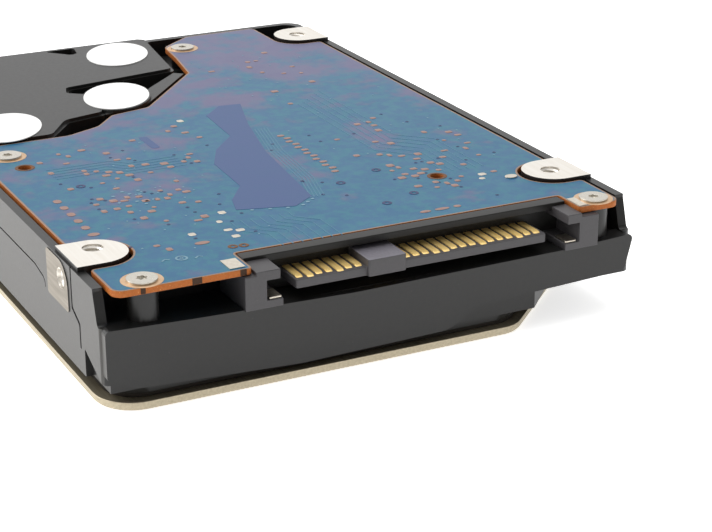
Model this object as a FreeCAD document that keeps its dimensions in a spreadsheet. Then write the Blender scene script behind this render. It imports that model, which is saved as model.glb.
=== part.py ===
"""A 2.5-inch hard disk drive, 15 mm high, lying on its cover with the circuit board on top.

Frame, in millimetres: X across the drive, +Y away from the connector, +Z up out of the board side.
The cover's outer face is z = 0 and the origin is the middle of the drive's footprint.
"""
import FreeCAD, Part
import math
import os
import re
import Sketcher
from FreeCAD import Rotation, Vector

DOCUMENT = FreeCAD.newDocument("hard_disk_drive")
SHEET = DOCUMENT.addObject("Spreadsheet::Sheet", "Dimensions")

# Driving dimensions, in millimetres and degrees.
SIZES = {
    "half_width": 34.925,
    "half_length": 50.1,
    "drive_height": 15.0,
    "cover_thickness": 1.1,
    "gasket_thickness": 0.5,
    "wall_low": 2.4,
    "wall_top": 14.45,
    "wall_thickness": 1.3,
    "ceiling": 10.6,
    "floor_face": 11.8,
    "shelf_top": 9.6,
    "front_ceiling": 8.2,
    "board_low": 13.85,
    "board_thickness": 0.8,
    "seal_half_width": 4.7,
    "seal_half_length": 6.7,
    "seal_turn": -24.0,
    "port_radius": 3.4,
    "seal_thickness": 0.1,
    "mount_x": 30.86,
    "mount_front_y": -36.1,
    "mount_rear_y": 40.5,
    "thread_radius": 1.25,
    "thread_depth": 3.0,
    "side_thread_depth": 2.5,
    "side_thread_z": 12.0,
    "side_relief": 0.12,
    "groove_depth": 0.2,
    "spindle_y": 15.4,
    "disc_radius": 32.5,
    "disc_bore_radius": 10.0,
    "disc_thickness": 0.8,
    "disc_pitch": 2.5,
    "disc_low": 2.6,
    "spacer_radius": 12.0,
    "shroud_radius": 33.3,
    "shaft_radius": 1.5,
    "sleeve_radius": 3.0,
    "motor_post_radius": 4.2,
    "running_gap": 0.03,
    "pivot_x": -8.0,
    "pivot_y": -23.3,
    "pivot_shaft_radius": 2.0,
    "pivot_sleeve_radius": 4.2,
    "arm_hub_radius": 6.0,
    "arm_low": 1.35,
    "arm_thickness": 0.8,
    "park_angle": 24.5,
    "head_reach": 33.5,
    "tab_reach": 37.0,
    "coil_low": 3.55,
    "coil_thickness": 2.3,
    "yoke_thickness": 0.85,
    "magnet_thickness": 0.85,
    "lower_yoke_low": 1.5,
    "upper_yoke_low": 7.05,
    "contact_pitch": 1.27,
    "contact_width": 0.85,
    "tongue_low": 11.1,
    "tongue_top": 12.2,
    "screw_shank_radius": 0.8,
    "screw_head_radius": 1.8,
}
for row, (alias, number) in enumerate(SIZES.items(), start=1):
    SHEET.set("A%d" % row, alias)
    SHEET.set("B%d" % row, repr(number))
    SHEET.setAlias("B%d" % row, alias)
DOCUMENT.recompute()

SPINDLE = (0.0, SIZES["spindle_y"])
PIVOT = (SIZES["pivot_x"], SIZES["pivot_y"])
NODES = []


def bind(target, prop, amount):
    """Set a property from a number, or bind it to a formula of the sheet's names."""
    if not isinstance(amount, str):
        setattr(target, prop, amount)
        return
    formula = re.sub(r"[a-z_]+", lambda word: "Dimensions." + word.group(0), amount)
    target.setExpression(prop, formula)


def place(target, spot):
    """Put an object at a spot whose three parts are numbers or formulas."""
    plain = [part if not isinstance(part, str) else 0.0 for part in spot]
    target.Placement = FreeCAD.Placement(Vector(*plain), target.Placement.Rotation)
    for axis, part in zip("xyz", spot):
        if isinstance(part, str):
            formula = re.sub(r"[a-z_]+", lambda word: "Dimensions." + word.group(0), part)
            target.setExpression("Placement.Base." + axis, formula)


def node(target, label):
    """Name an object as one of the drive's sub-parts."""
    target.Label = label
    NODES.append(target)
    return target


# ---------------------------------------------------------------- primitives and booleans

def box(size, corner):
    """A block from its lowest corner."""
    made = DOCUMENT.addObject("Part::Box", "block")
    for prop, amount in zip(("Length", "Width", "Height"), size):
        bind(made, prop, amount)
    place(made, corner)
    return made


def cylinder(radius, height, base, turn=None):
    """An upright cylinder from the middle of its base, or one turned by a rotation."""
    made = DOCUMENT.addObject("Part::Cylinder", "round")
    bind(made, "Radius", radius)
    bind(made, "Height", height)
    if turn:
        made.Placement = FreeCAD.Placement(Vector(), turn)
    place(made, base)
    return made


def cut(base, *tools):
    """A base with one or more tools taken away."""
    made = DOCUMENT.addObject("Part::Cut", "cut")
    made.Base = base
    made.Tool = tools[0] if len(tools) == 1 else fuse(*tools)
    return made


def fuse(*pieces):
    """Several pieces as one."""
    made = DOCUMENT.addObject("Part::MultiFuse", "fusion")
    made.Shapes = list(pieces)
    return made


def group(pieces):
    """Separate solids that share one sub-part."""
    made = DOCUMENT.addObject("Part::Compound", "set")
    made.Links = list(pieces)
    return made


def ring(outer, inner, height, base):
    """A flat ring: a round with a round hole through it."""
    return cut(cylinder(outer, height, base), cylinder(inner, height, base))


# ---------------------------------------------------------------- sketched bodies

def new_body(label):
    """A body that sketches and features build up."""
    return node(DOCUMENT.addObject("PartDesign::Body", label), label)


def sketch(body, name, role="XY_Plane", offset=0.0):
    """A sketch on one of the body's own planes, moved along the plane's normal."""
    made = body.newObject("Sketcher::SketchObject", name)
    plane = [feature for feature in body.Origin.OriginFeatures if feature.Role == role][0]
    made.AttachmentSupport = [(plane, "")]
    made.MapMode = "FlatFace"
    made.AttachmentOffset = FreeCAD.Placement(Vector(0, 0, offset), Rotation())
    return made


def circle(target, x, y, radius):
    """A full circle in a sketch, its radius bound to the sheet where that is a name."""
    plain = radius if not isinstance(radius, str) else 1.0
    index = target.addGeometry(Part.Circle(Vector(x, y, 0), Vector(0, 0, 1), plain), False)
    target.addConstraint(Sketcher.Constraint("DistanceX", -1, 1, index, 3, x))
    target.addConstraint(Sketcher.Constraint("DistanceY", -1, 1, index, 3, y))
    limit = target.addConstraint(Sketcher.Constraint("Radius", index, plain))
    if isinstance(radius, str):
        bind(target, "Constraints[%d]" % limit, radius)


def oval(target, x, y, margin=0.0):
    """Draw a seal's oval outline in a sketch, larger by a margin."""
    half_width = SIZES["seal_half_width"] + margin
    half_length = SIZES["seal_half_length"] + margin
    turn = math.radians(SIZES["seal_turn"])
    centre = Vector(x, y, 0)
    side = Vector(math.cos(turn), math.sin(turn), 0)
    ahead = Vector(-math.sin(turn), math.cos(turn), 0)
    target.addGeometry(Part.Ellipse(centre + ahead * half_length, centre + side * half_width, centre), False)


def rounded_corner(before, corner, after, radius):
    """Where a corner's arc starts, passes and ends."""
    towards_before = (before - corner).normalize()
    towards_after = (after - corner).normalize()
    half = math.acos(max(-1.0, min(1.0, towards_before.dot(towards_after)))) / 2
    reach = radius / math.tan(half)
    middle = (towards_before + towards_after).normalize()
    centre = corner + middle * (radius / math.sin(half))
    return corner + towards_before * reach, centre - middle * radius, corner + towards_after * reach


def outline_edges(corners):
    """Lines and arcs round a closed outline of corners, each x, y and an optional radius."""
    points = [Vector(corner[0], corner[1], 0) for corner in corners]
    radii = [corner[2] if len(corner) > 2 else 0.0 for corner in corners]
    count = len(points)
    arcs = []
    for i in range(count):
        before = Vector(points[i - 1])
        after = Vector(points[(i + 1) % count])
        if radii[i] > 0:
            arcs.append(rounded_corner(before, Vector(points[i]), after, radii[i]))
        else:
            arcs.append((points[i], None, points[i]))
    edges = []
    for i in range(count):
        start, through, end = arcs[i]
        if through is not None:
            edges.append(Part.Arc(start, through, end))
        following = arcs[(i + 1) % count][0]
        if end.distanceToPoint(following) > 1e-6:
            edges.append(Part.LineSegment(end, following))
    return edges


def loop(target, corners):
    """A closed rounded outline in a sketch."""
    target.addGeometry(outline_edges(corners), False)


def pad(body, profile, length, backwards=False):
    """Add a sketch's area along its normal, or against it."""
    made = body.newObject("PartDesign::Pad", "pad")
    made.Profile = profile
    bind(made, "Length", length)
    made.Reversed = backwards
    profile.Visibility = False
    return made


def pocket(body, profile, length, along_normal=False):
    """Take a sketch's area away against its normal, or along it, and check that it did cut."""
    DOCUMENT.recompute()
    before = body.Shape.Volume
    made = body.newObject("PartDesign::Pocket", "pocket")
    made.Profile = profile
    bind(made, "Length", length)
    made.Reversed = along_normal
    DOCUMENT.recompute()
    if body.Shape.Volume > before - 1e-3:
        raise RuntimeError("%s took nothing away" % profile.Label)
    return made


def plate(label, corners, low, height):
    """A flat piece of one outline."""
    body = new_body(label)
    profile = sketch(body, label + "_outline", offset=low)
    loop(profile, corners)
    pad(body, profile, height)
    return body


def prism(corners, low, height):
    """A flat piece of one outline, for use in booleans and sets."""
    edges = [curve.toShape() for curve in outline_edges(corners)]
    face = Part.Face(Part.Wire(Part.__sortEdges__(edges)))
    face.translate(Vector(0, 0, low))
    made = DOCUMENT.addObject("Part::Feature", "prism")
    made.Shape = face.extrude(Vector(0, 0, height))
    return made


def mirrored(corners):
    """The same outline on the other side of the drive."""
    return [(-corner[0],) + tuple(corner[1:]) for corner in corners]


def sector(centre, inner, outer, start, end, radius=0.0):
    """A ring's sector as an outline of short chords; its end corners may be rounded."""
    steps = max(3, int((end - start) / 6))
    outline = []
    for i in range(steps + 1):
        angle = math.radians(start + (end - start) * i / steps)
        rounding = radius if i in (0, steps) else 0.0
        outline.append((centre[0] + outer * math.cos(angle), centre[1] + outer * math.sin(angle), rounding))
    for i in range(steps + 1):
        angle = math.radians(end - (end - start) * i / steps)
        rounding = radius if i in (0, steps) else 0.0
        outline.append((centre[0] + inner * math.cos(angle), centre[1] + inner * math.sin(angle), rounding))
    return outline


def about_pivot(angle, reach, side=0.0):
    """A point seen from the actuator's pivot: along a direction, then to its left."""
    turn = math.radians(angle)
    return (PIVOT[0] + reach * math.cos(turn) - side * math.sin(turn),
            PIVOT[1] + reach * math.sin(turn) + side * math.cos(turn))


# ---------------------------------------------------------------- outlines that several pieces share

def casing_outline(inset):
    """The cover's outline, drawn in by an inset: one corner is cut off beside the connector."""
    side = 34.7 - inset
    end = 49.9 - inset
    slope = inset * math.tan(math.radians(22.5))
    return [(-side, -end, 5.0 - inset * 0.6),
            (18.0 - slope, -end, 4.0),
            (side, -34.2 + slope, 2.5),
            (side, end, 4.0 - inset * 0.6),
            (-side, end, 4.0 - inset * 0.6)]


FRONT_BOSS_LEFT_Y = -37.4
FRONT_BOSS_RIGHT_Y = -36.1
BOSS_HALF_WIDTH = 3.9
BOSS_TIP_X = 27.2
COVER_SCREWS = [(-30.0, 45.4), (30.0, 45.4), (-30.6, -18.0), (30.8, -22.0), (-29.6, -45.2), (13.2, -45.6)]
BOARD_SCREWS = [(-29.1, -47.3), (30.2, -47.2), (-29.2, 1.7), (11.7, 42.0)]
SEALS = [(1.0, 42.4), (-7.0, 20.95), (-25.7, 13.3)]
PLUG_LEFT = -17.9
PLUG_RIGHT = 29.2


def tongue_outline(side, centre_y, half, tip=BOSS_TIP_X):
    """A mounting boss that grows out of a side wall and ends round."""
    radius = half - 0.05
    wall = SIZES["half_width"] - 0.4
    corners = [(-wall, centre_y + half), (-tip, centre_y + half, radius),
               (-tip, centre_y - half, radius), (-wall, centre_y - half)]
    return corners if side < 0 else mirrored(corners)


# ---------------------------------------------------------------- the base casting

def base_casting():
    """The coated aluminium casting: side walls, board recess, shelf, bosses and inner cavity."""
    body = new_body("base_casting")
    half_width = SIZES["half_width"]
    half_length = SIZES["half_length"]

    block = sketch(body, "wall_outline", offset=SIZES["wall_low"])
    loop(block, [(-half_width, -48.9, 1.0), (half_width, -48.9, 1.0),
                 (half_width, half_length, 3.0), (-half_width, half_length, 3.0)])
    pad(body, block, "wall_top - wall_low")

    rim = sketch(body, "lower_rim_outline", offset=SIZES["cover_thickness"] + SIZES["gasket_thickness"])
    loop(rim, casing_outline(1.3))
    pad(body, rim, "wall_low - cover_thickness - gasket_thickness + 0.4")

    inner = half_width - SIZES["wall_thickness"]
    recess = sketch(body, "board_recess", offset=SIZES["wall_top"])
    loop(recess, [(-inner, -52.0), (inner, -52.0), (inner, 48.9, 2.0), (8.2, 48.9, 1.0), (6.0, 31.0, 1.0),
                  (-11.8, 28.2, 1.0), (-12.6, 25.6, 0.6), (-7.6, 21.5), (-11.0, 14.4, 1.0), (-17.0, 12.9, 1.5),
                  (-21.0, 7.5, 1.5), (-inner, 7.5, 0.5)])
    pocket(body, recess, "wall_top - floor_face")

    shelf = sketch(body, "connector_shelf", offset=SIZES["floor_face"])
    loop(shelf, [(-inner, -52.0), (inner, -52.0), (inner, -42.0, 1.0), (-inner, -42.0, 1.0)])
    pocket(body, shelf, "floor_face - shelf_top")

    slant = sketch(body, "wall_front_slant", "YZ_Plane", -half_width - 1)
    loop(slant, [(-52.0, 16.0), (-46.9, 16.0), (-46.9, 14.1, 0.6), (-48.0, 10.3, 0.6), (-52.0, 10.3)])
    pocket(body, slant, 2 * half_width + 2, along_normal=True)

    plateau = sketch(body, "bare_plateau", offset=SIZES["floor_face"])
    loop(plateau, [(-half_width + 0.4, 7.9, 0.4), (-21.0, 7.9, 1.5), (-17.4, 13.3, 2.5), (-11.6, 14.7, 1.0),
                   (-7.6, 21.5), (-12.9, 25.8, 0.6), (-12.1, 28.5, 1.0), (5.6, 31.3, 1.0), (8.0, 49.0, 1.0), (7.0, 49.7),
                   (-half_width + 0.4, 49.7, 2.6)])
    pad(body, plateau, "drive_height - seal_thickness - floor_face")

    seal_seat = sketch(body, "seal_seat", offset=SIZES["floor_face"])
    oval(seal_seat, SEALS[1][0], SEALS[1][1], 0.25)
    pad(body, seal_seat, "drive_height - seal_thickness - floor_face")

    ledge = sketch(body, "board_edge_ledge", offset=SIZES["floor_face"])
    loop(ledge, [(-11.0, 14.3), (-5.0, 15.6), (-3.6, 16.9), (6.6, 28.9), (5.4, 30.0), (-0.6, 24.2), (-4.0, 20.0),
                 (-9.5, 20.0)])
    pad(body, ledge, 14.5 - SIZES["floor_face"])

    for side, centre_y in ((-1, FRONT_BOSS_LEFT_Y), (1, FRONT_BOSS_RIGHT_Y),
                           (1, SIZES["mount_rear_y"]), (-1, SIZES["mount_rear_y"])):
        boss = sketch(body, "mount_boss", offset=SIZES["ceiling"])
        loop(boss, tongue_outline(side, centre_y, BOSS_HALF_WIDTH))
        pad(body, boss, "drive_height - ceiling")

    for x, y in BOARD_SCREWS:
        post = sketch(body, "board_post", offset=8.6)
        circle(post, x, y, 1.8)
        pad(body, post, "board_low - 8.6")

    front = sketch(body, "front_block", "XZ_Plane", 49.9)
    loop(front, [(-34.6, 4.4, 0.8), (-31.0, 2.9, 3.0), (-11.0, 1.9, 30.0), (8.6, 2.3, 4.0), (12.4, 4.7, 2.0),
                 (33.4, 5.5, 1.0), (34.6, 10.2, 0.6), (24.0, 9.75, 20.0), (-4.0, 9.45, 60.0),
                 (-24.0, 10.0, 20.0), (-34.6, 10.4, 0.6)])
    pad(body, front, 2.6, backwards=True)

    corner = sketch(body, "cut_corner", offset=4.9)
    loop(corner, [(17.2, -53.0), (40.0, -53.0), (40.0, -29.0)])
    pocket(body, corner, 4.9)

    lug = sketch(body, "corner_lug", offset=2.6)
    loop(lug, [(21.6, -46.4, 0.3), (23.6, -46.4, 0.3), (23.6, -42.0, 0.3), (21.6, -42.0, 0.3)])
    pad(body, lug, 3.0)

    hollow = sketch(body, "disc_shroud")
    circle(hollow, 0.0, SIZES["spindle_y"], "shroud_radius")
    pocket(body, hollow, "ceiling", along_normal=True)

    bay = sketch(body, "actuator_bay")
    loop(bay, [(-33.2, -32.2, 1.0), (-30.0, -32.2, 1.0), (-30.0, -41.9, 1.0), (19.8, -41.9, 1.0),
               (33.2, -27.9, 1.0), (33.2, 2.0), (-33.2, 2.0)])
    pocket(body, bay, "ceiling", along_normal=True)

    front_bay = sketch(body, "front_bay")
    loop(front_bay, [(-32.6, -46.9, 2.0), (16.2, -46.9, 2.0), (21.2, -41.9), (21.0, -41.2), (-32.6, -41.2, 1.0)])
    pocket(body, front_bay, "front_ceiling", along_normal=True)

    motor_post = sketch(body, "motor_post", offset=4.6)
    circle(motor_post, 0.0, SIZES["spindle_y"], "motor_post_radius")
    pad(body, motor_post, "floor_face - 4.6")
    motor_bore = sketch(body, "motor_bore", offset=4.6)
    circle(motor_bore, 0.0, SIZES["spindle_y"], "sleeve_radius")
    pocket(body, motor_bore, "floor_face - 4.6", along_normal=True)

    for x, y in COVER_SCREWS:
        ceiling = SIZES["front_ceiling"] if y < -42 else SIZES["ceiling"]
        foot = SIZES["cover_thickness"] + SIZES["gasket_thickness"]
        screw_post = sketch(body, "cover_screw_post", offset=foot)
        circle(screw_post, x, y, 2.75)
        pad(body, screw_post, ceiling + 0.4 - foot)
    threads = sketch(body, "cover_screw_threads")
    for x, y in COVER_SCREWS:
        circle(threads, x, y, "screw_shank_radius")
    pocket(body, threads, 6.0, along_normal=True)

    # The connector's ears drop into two seats, and the right one also trims the screw post beside it.
    seats = sketch(body, "connector_seats", offset=SIZES["board_low"] + 0.5)
    for left in (PLUG_LEFT - 0.05, PLUG_RIGHT - 4.75):
        loop(seats, [(left, -52.0), (left + 4.8, -52.0), (left + 4.8, -45.0), (left, -45.0)])
    pocket(body, seats, "board_low + 0.48 - shelf_top")

    board_threads = sketch(body, "board_screw_threads", offset=SIZES["board_low"])
    for x, y in BOARD_SCREWS:
        circle(board_threads, x, y, "screw_shank_radius")
    pocket(body, board_threads, 2.6)

    mounts = sketch(body, "bottom_mount_holes", offset=SIZES["drive_height"])
    for side in (-1, 1):
        for y in (SIZES["mount_front_y"], SIZES["mount_rear_y"]):
            circle(mounts, side * SIZES["mount_x"], y, "thread_radius")
    pocket(body, mounts, "thread_depth")

    # Both side faces stand back a little from the machined pads round the side holes.
    for side in (-1, 1):
        outer = side * half_width
        inwards = side < 0
        relief = sketch(body, "side_relief", "YZ_Plane", outer)
        loop(relief, [(-51.0, 1.0), (51.0, 1.0), (51.0, 16.0), (-51.0, 16.0)])
        loop(relief, [(-38.5, 8.5, 0.4), (-31.1, 8.5, 0.4), (-31.1, 14.2, 0.5), (-38.5, 14.2, 2.9)])
        loop(relief, [(36.8, 8.5, 0.4), (44.2, 8.5, 0.4), (44.2, 14.2, 2.9), (36.8, 14.2, 0.5)])
        pocket(body, relief, "side_relief", along_normal=inwards)
        split = sketch(body, "parting_groove", "YZ_Plane", outer)
        loop(split, [(-39.3, 16.0), (-39.3, 9.4, 0.4), (-41.7, 8.2, 0.4), (-41.7, 5.4), (-42.1, 5.4),
                     (-42.1, 8.5, 0.5), (-39.7, 9.7, 0.5), (-39.7, 16.0)])
        pocket(body, split, "side_relief + groove_depth", along_normal=inwards)
        seam = sketch(body, "upper_seam", "YZ_Plane", outer)
        loop(seam, [(-29.7, 8.6), (-29.5, 9.5, 1.0), (-26.0, 10.2, 3.0), (34.0, 10.2), (34.0, 10.4),
                    (-26.0, 10.4, 3.0), (-29.7, 9.7, 1.2), (-29.9, 8.6)])
        pocket(body, seam, "side_relief + groove_depth", along_normal=inwards)
        for y in (SIZES["mount_front_y"], SIZES["mount_rear_y"]):
            thread = sketch(body, "side_thread", "YZ_Plane", outer)
            circle(thread, y, SIZES["side_thread_z"], "thread_radius")
            pocket(body, thread, "side_thread_depth", along_normal=inwards)

    notch = sketch(body, "corner_notch", "YZ_Plane", -half_width)
    loop(notch, [(-49.6, 1.0), (-43.2, 1.0), (-43.2, 5.9, 0.2), (-49.6, 3.1)])
    pocket(body, notch, 1.0, along_normal=True)

    # Dark recesses beside the rear seal, and the slot of the head connector.
    recesses = sketch(body, "seal_recesses", offset=SIZES["drive_height"])
    loop(recesses, [(-8.6, 49.0, 0.3), (-5.4, 45.4, 0.8), (-4.3, 46.0, 0.4), (-3.8, 49.0, 0.4)])
    pocket(body, recesses, 1.6)

    # The outer two seals close ports through which the drive's first tracks are written.
    ports = sketch(body, "process_ports", offset=SIZES["drive_height"])
    for x, y in (SEALS[0], SEALS[2]):
        circle(ports, x, y, "port_radius")
    pocket(body, ports, "drive_height - ceiling + 0.2")
    slot = sketch(body, "head_connector_slot", offset=SIZES["floor_face"])
    loop(slot, [(11.0, -37.5, 0.6), (21.0, -37.5, 0.6), (21.0, -33.5, 0.6), (11.0, -33.5, 0.6)])
    pocket(body, slot, 1.4)
    return body


def casing():
    """What closes the casting: gasket, cover, its screws, the blank label and the filters."""
    base_casting()

    gasket = new_body("cover_gasket")
    seal = sketch(gasket, "gasket_outline", offset=SIZES["cover_thickness"])
    loop(seal, casing_outline(1.3))
    loop(seal, casing_outline(2.2))
    pad(gasket, seal, "gasket_thickness")

    cover = new_body("top_cover")
    sheet = sketch(cover, "cover_outline")
    loop(sheet, casing_outline(0.0))
    pad(cover, sheet, "cover_thickness")
    sinks = sketch(cover, "screw_sinks")
    holes = sketch(cover, "screw_holes")
    for x, y in COVER_SCREWS + [PIVOT]:
        circle(sinks, x, y, "screw_head_radius + 0.3")
        circle(holes, x, y, "screw_shank_radius + 0.1")
    pocket(cover, sinks, 0.7, along_normal=True)
    pocket(cover, holes, "cover_thickness", along_normal=True)
    panel = sketch(cover, "label_panel")
    loop(panel, [(-25.0, -16.0, 3.0), (25.0, -16.0, 3.0), (25.0, 41.0, 3.0), (-25.0, 41.0, 3.0)])
    pocket(cover, panel, 0.2, along_normal=True)
    vent = sketch(cover, "breather_hole")
    circle(vent, 4.0, -38.0, 0.6)
    pocket(cover, vent, "cover_thickness", along_normal=True)
    edge = cover.newObject("PartDesign::Chamfer", "cover_edge")
    DOCUMENT.recompute()
    rims = ["Edge%d" % (i + 1) for i, side in enumerate(cover.Shape.Edges)
            if side.BoundBox.ZMax < 1e-4 and side.distToShape(outer_wire(casing_outline(0.0)))[0] < 1e-4]
    edge.Base = (sheet_tip(cover, edge), rims)
    edge.Size = 0.35

    plate("blank_label", [(-24.6, -15.6, 2.6), (24.6, -15.6, 2.6), (24.6, 40.6, 2.6), (-24.6, 40.6, 2.6)],
          0.08, 0.12)

    screws = [countersunk_screw(x, y, 0.05, 5.2) for x, y in COVER_SCREWS]
    screws.append(countersunk_screw(PIVOT[0], PIVOT[1], 0.05, 4.0))
    node(group(screws), "cover_screws")

    node(prism([(0.6, -41.4, 1.0), (7.4, -41.4, 1.0), (7.4, -34.8, 1.0), (0.6, -34.8, 1.0)], 1.1, 2.4),
         "breather_filter")
    node(prism([(-31.6, -11.2, 0.4), (-29.6, -10.4, 0.4), (-30.8, -7.0, 0.4), (-32.6, -8.0, 0.4)], 2.2, 8.4),
         "recirculation_filter")
    node(prism([(23.4, -33.0, 0.8), (27.4, -29.4, 0.8), (24.6, -26.0, 0.8), (20.2, -29.8, 0.8)], 3.0, 7.6),
         "desiccant_pack")


def outer_wire(corners):
    """A closed outline as a wire."""
    return Part.Wire(Part.__sortEdges__([curve.toShape() for curve in outline_edges(corners)]))


def sheet_tip(body, last):
    """The feature just before the last one of a body."""
    features = [item for item in body.Group if item.isDerivedFrom("PartDesign::Feature")]
    return features[features.index(last) - 1]


def countersunk_screw(x, y, low, reach):
    """A screw whose head faces down: six-lobed socket, head and shank."""
    head = cylinder("screw_head_radius", 0.6, (x, y, low))
    shank = cylinder("screw_shank_radius", reach, (x, y, low + 0.6))
    socket = prism(lobes(x, y, 0.75, 0.5), low - 0.1, 0.45)
    return cut(fuse(head, shank), socket)


def raised_screw(x, y, low, head_height, reach):
    """A screw whose head faces up, with a six-lobed socket."""
    head = cylinder("screw_head_radius", head_height, (x, y, low))
    shank = cylinder("screw_shank_radius", reach, (x, y, low - reach))
    socket = prism(lobes(x, y, 0.75, 0.5), low + 0.05, head_height)
    return cut(fuse(head, shank), socket)


def lobes(x, y, outer, inner):
    """The outline of a six-lobed socket."""
    outline = []
    for i in range(12):
        radius = outer if i % 2 == 0 else inner
        angle = math.radians(30 * i)
        outline.append((x + radius * math.cos(angle), y + radius * math.sin(angle), 0.08))
    return outline


def port_seals():
    """Oval paper seals over the casting's process ports."""
    seals = []
    for x, y in SEALS:
        seal = DOCUMENT.addObject("PartDesign::Body", "port_seal")
        outline = sketch(seal, "seal_outline", offset=SIZES["drive_height"] - SIZES["seal_thickness"])
        oval(outline, x, y)
        pad(seal, outline, "seal_thickness")
        seals.append(seal)
    node(group(seals), "port_seals")


# ---------------------------------------------------------------- the circuit board

def circuit_board():
    """The board's outline goes round the bosses, the connector and the bare plateau."""
    left = FRONT_BOSS_LEFT_Y
    right = FRONT_BOSS_RIGHT_Y
    half = BOSS_HALF_WIDTH + 0.4
    board = new_body("circuit_board")
    outline = sketch(board, "board_outline", offset=SIZES["board_low"])
    loop(outline, [(-33.2, -49.5, 1.4), (-16.7, -49.5, 0.5), (-16.7, -44.3, 0.4), (26.95, -44.3, 0.4),
                   (26.95, -49.2, 0.5), (32.9, -49.2, 1.4), (32.9, right - half, 0.6),
                   (26.7, right - half, half - 0.05), (26.7, right + half, half - 0.05), (32.9, right + half, 0.6),
                   (32.9, 36.0, 0.6), (26.6, 36.0, 4.0), (26.6, 48.4, 1.0), (14.8, 48.4, 1.5),
                   (9.4, 44.0, 2.5), (8.6, 37.0, 3.0), (7.2, 28.6, 1.2), (-4.6, 14.6, 2.0), (-10.6, 13.2, 1.5),
                   (-14.0, 9.2, 2.0), (-19.0, 7.0, 2.0), (-33.2, 7.0, 0.8), (-33.2, left + half, 0.6),
                   (-26.7, left + half, half - 0.05), (-26.7, left - half, half - 0.05), (-33.2, left - half, 0.6)])
    pad(board, outline, "board_thickness")
    holes = sketch(board, "board_holes", offset=SIZES["board_low"])
    for x, y in BOARD_SCREWS:
        circle(holes, x, y, "screw_shank_radius + 0.15")
    for x, y in ((-28.6, -3.7), (17.2, -30.9)):
        circle(holes, x, y, 0.9)
    pocket(board, holes, "board_thickness", along_normal=True)

    top = SIZES["board_low"] + SIZES["board_thickness"]
    node(group([raised_screw(x, y, top, 0.32, 2.9) for x, y in BOARD_SCREWS]), "board_screws")
    tabs = [box((width, 2.9, 0.1), (x, -48.9, top)) for x, width in ((-19.2, 1.9), (27.05, 1.15))]
    node(group(tabs), "connector_solder_tabs")
    film = plate("insulator_film", [(-32.6, -31.0, 1.0), (32.6, -31.0, 1.0), (32.6, 5.0, 1.0), (-32.6, 5.0, 1.0)],
                 11.8, 0.15)
    openings = sketch(film, "film_openings", offset=11.8)
    circle(openings, BOARD_SCREWS[2][0], BOARD_SCREWS[2][1], 2.2)
    pocket(film, openings, 0.15, along_normal=True)


def hanging_chip(label, x, y, width, length, height, leads=0):
    """A chip soldered to the underside of the board, its package chamfered by a smaller step."""
    low = SIZES["board_low"] - height
    package = box((width, length, height - 0.25), (x - width / 2, y - length / 2, low))
    seat = box((width - 0.6, length - 0.6, 0.25), (x - width / 2 + 0.3, y - length / 2 + 0.3, low + height - 0.25))
    pieces = [package, seat]
    for i in range(leads):
        offset = (i - (leads - 1) / 2) * (length - 1.0) / max(1, leads - 1)
        pieces.append(box((width + 1.2, 0.25, 0.2), (x - width / 2 - 0.6, y + offset - 0.125, low + height - 0.2)))
    node(fuse(*pieces), label)


def small_parts(label, spots, width, length, height):
    """Small two-ended parts on the underside of the board."""
    low = SIZES["board_low"] - height
    parts = [box((width, length, height), (x - width / 2, y - length / 2, low)) for x, y in spots]
    node(group(parts), label)


def board_underside():
    """Chips and small parts between the board and the casting."""
    hanging_chip("controller_chip", 4.0, -18.0, 12.0, 12.0, 1.3)
    hanging_chip("memory_chip", -13.0, -24.0, 8.0, 10.0, 1.1)
    hanging_chip("motor_driver_chip", 20.0, -6.0, 7.0, 7.0, 1.0)
    hanging_chip("flash_chip", -22.5, -8.0, 5.0, 4.0, 0.9, leads=4)
    small_parts("board_capacitors", [(-6.0 + 2.4 * i, -33.5) for i in range(6)]
                + [(26.0, -20.0 + 2.2 * i) for i in range(5)], 1.0, 1.6, 0.9)
    small_parts("board_resistors", [(-24.0 + 2.0 * i, -16.0) for i in range(5)]
                + [(12.5 + 1.8 * i, -14.0) for i in range(4)], 0.8, 1.2, 0.4)
    small_parts("board_inductors", [(14.0, -22.5), (20.0, -17.0), (14.0, 2.5)], 3.2, 3.2, 1.4)
    node(fuse(box((6.0, 2.2, 1.4), (-3.0, 1.2, 12.45)),
              *[box((0.6, 1.2, 0.4), (-2.6 + 1.5 * i, 1.8, 12.05)) for i in range(4)]), "motor_contact_block")


# ---------------------------------------------------------------- the connector

SIGNAL_START = -10.6
POWER_START = 3.37
BLOCK_LEFT = -2.3
BLOCK_RIGHT = 2.65
EAR_FRONT = -50.1
PLUG_LOW = 9.65
PLUG_HIGH = 13.75
WALL_FRONT = -44.9
WALL_BACK = -42.5


def ear(side_x, direction, under_board):
    """A guide ear: an outer block, a roof and a foot that leave a channel open to the tongue.

    The part of it under_board stays below the circuit board.
    """
    def span(near, far, low, high):
        ends = sorted((side_x + direction * near, side_x + direction * far))
        return box((ends[1] - ends[0], WALL_FRONT - EAR_FRONT, high - low), (ends[0], EAR_FRONT, low))
    return [span(0.0, under_board, PLUG_LOW, PLUG_HIGH), span(under_board, 2.7, PLUG_LOW, 14.2),
            span(2.6, 4.4, 13.0, 14.2), span(2.6, 4.7, PLUG_LOW, 10.6)]


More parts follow.
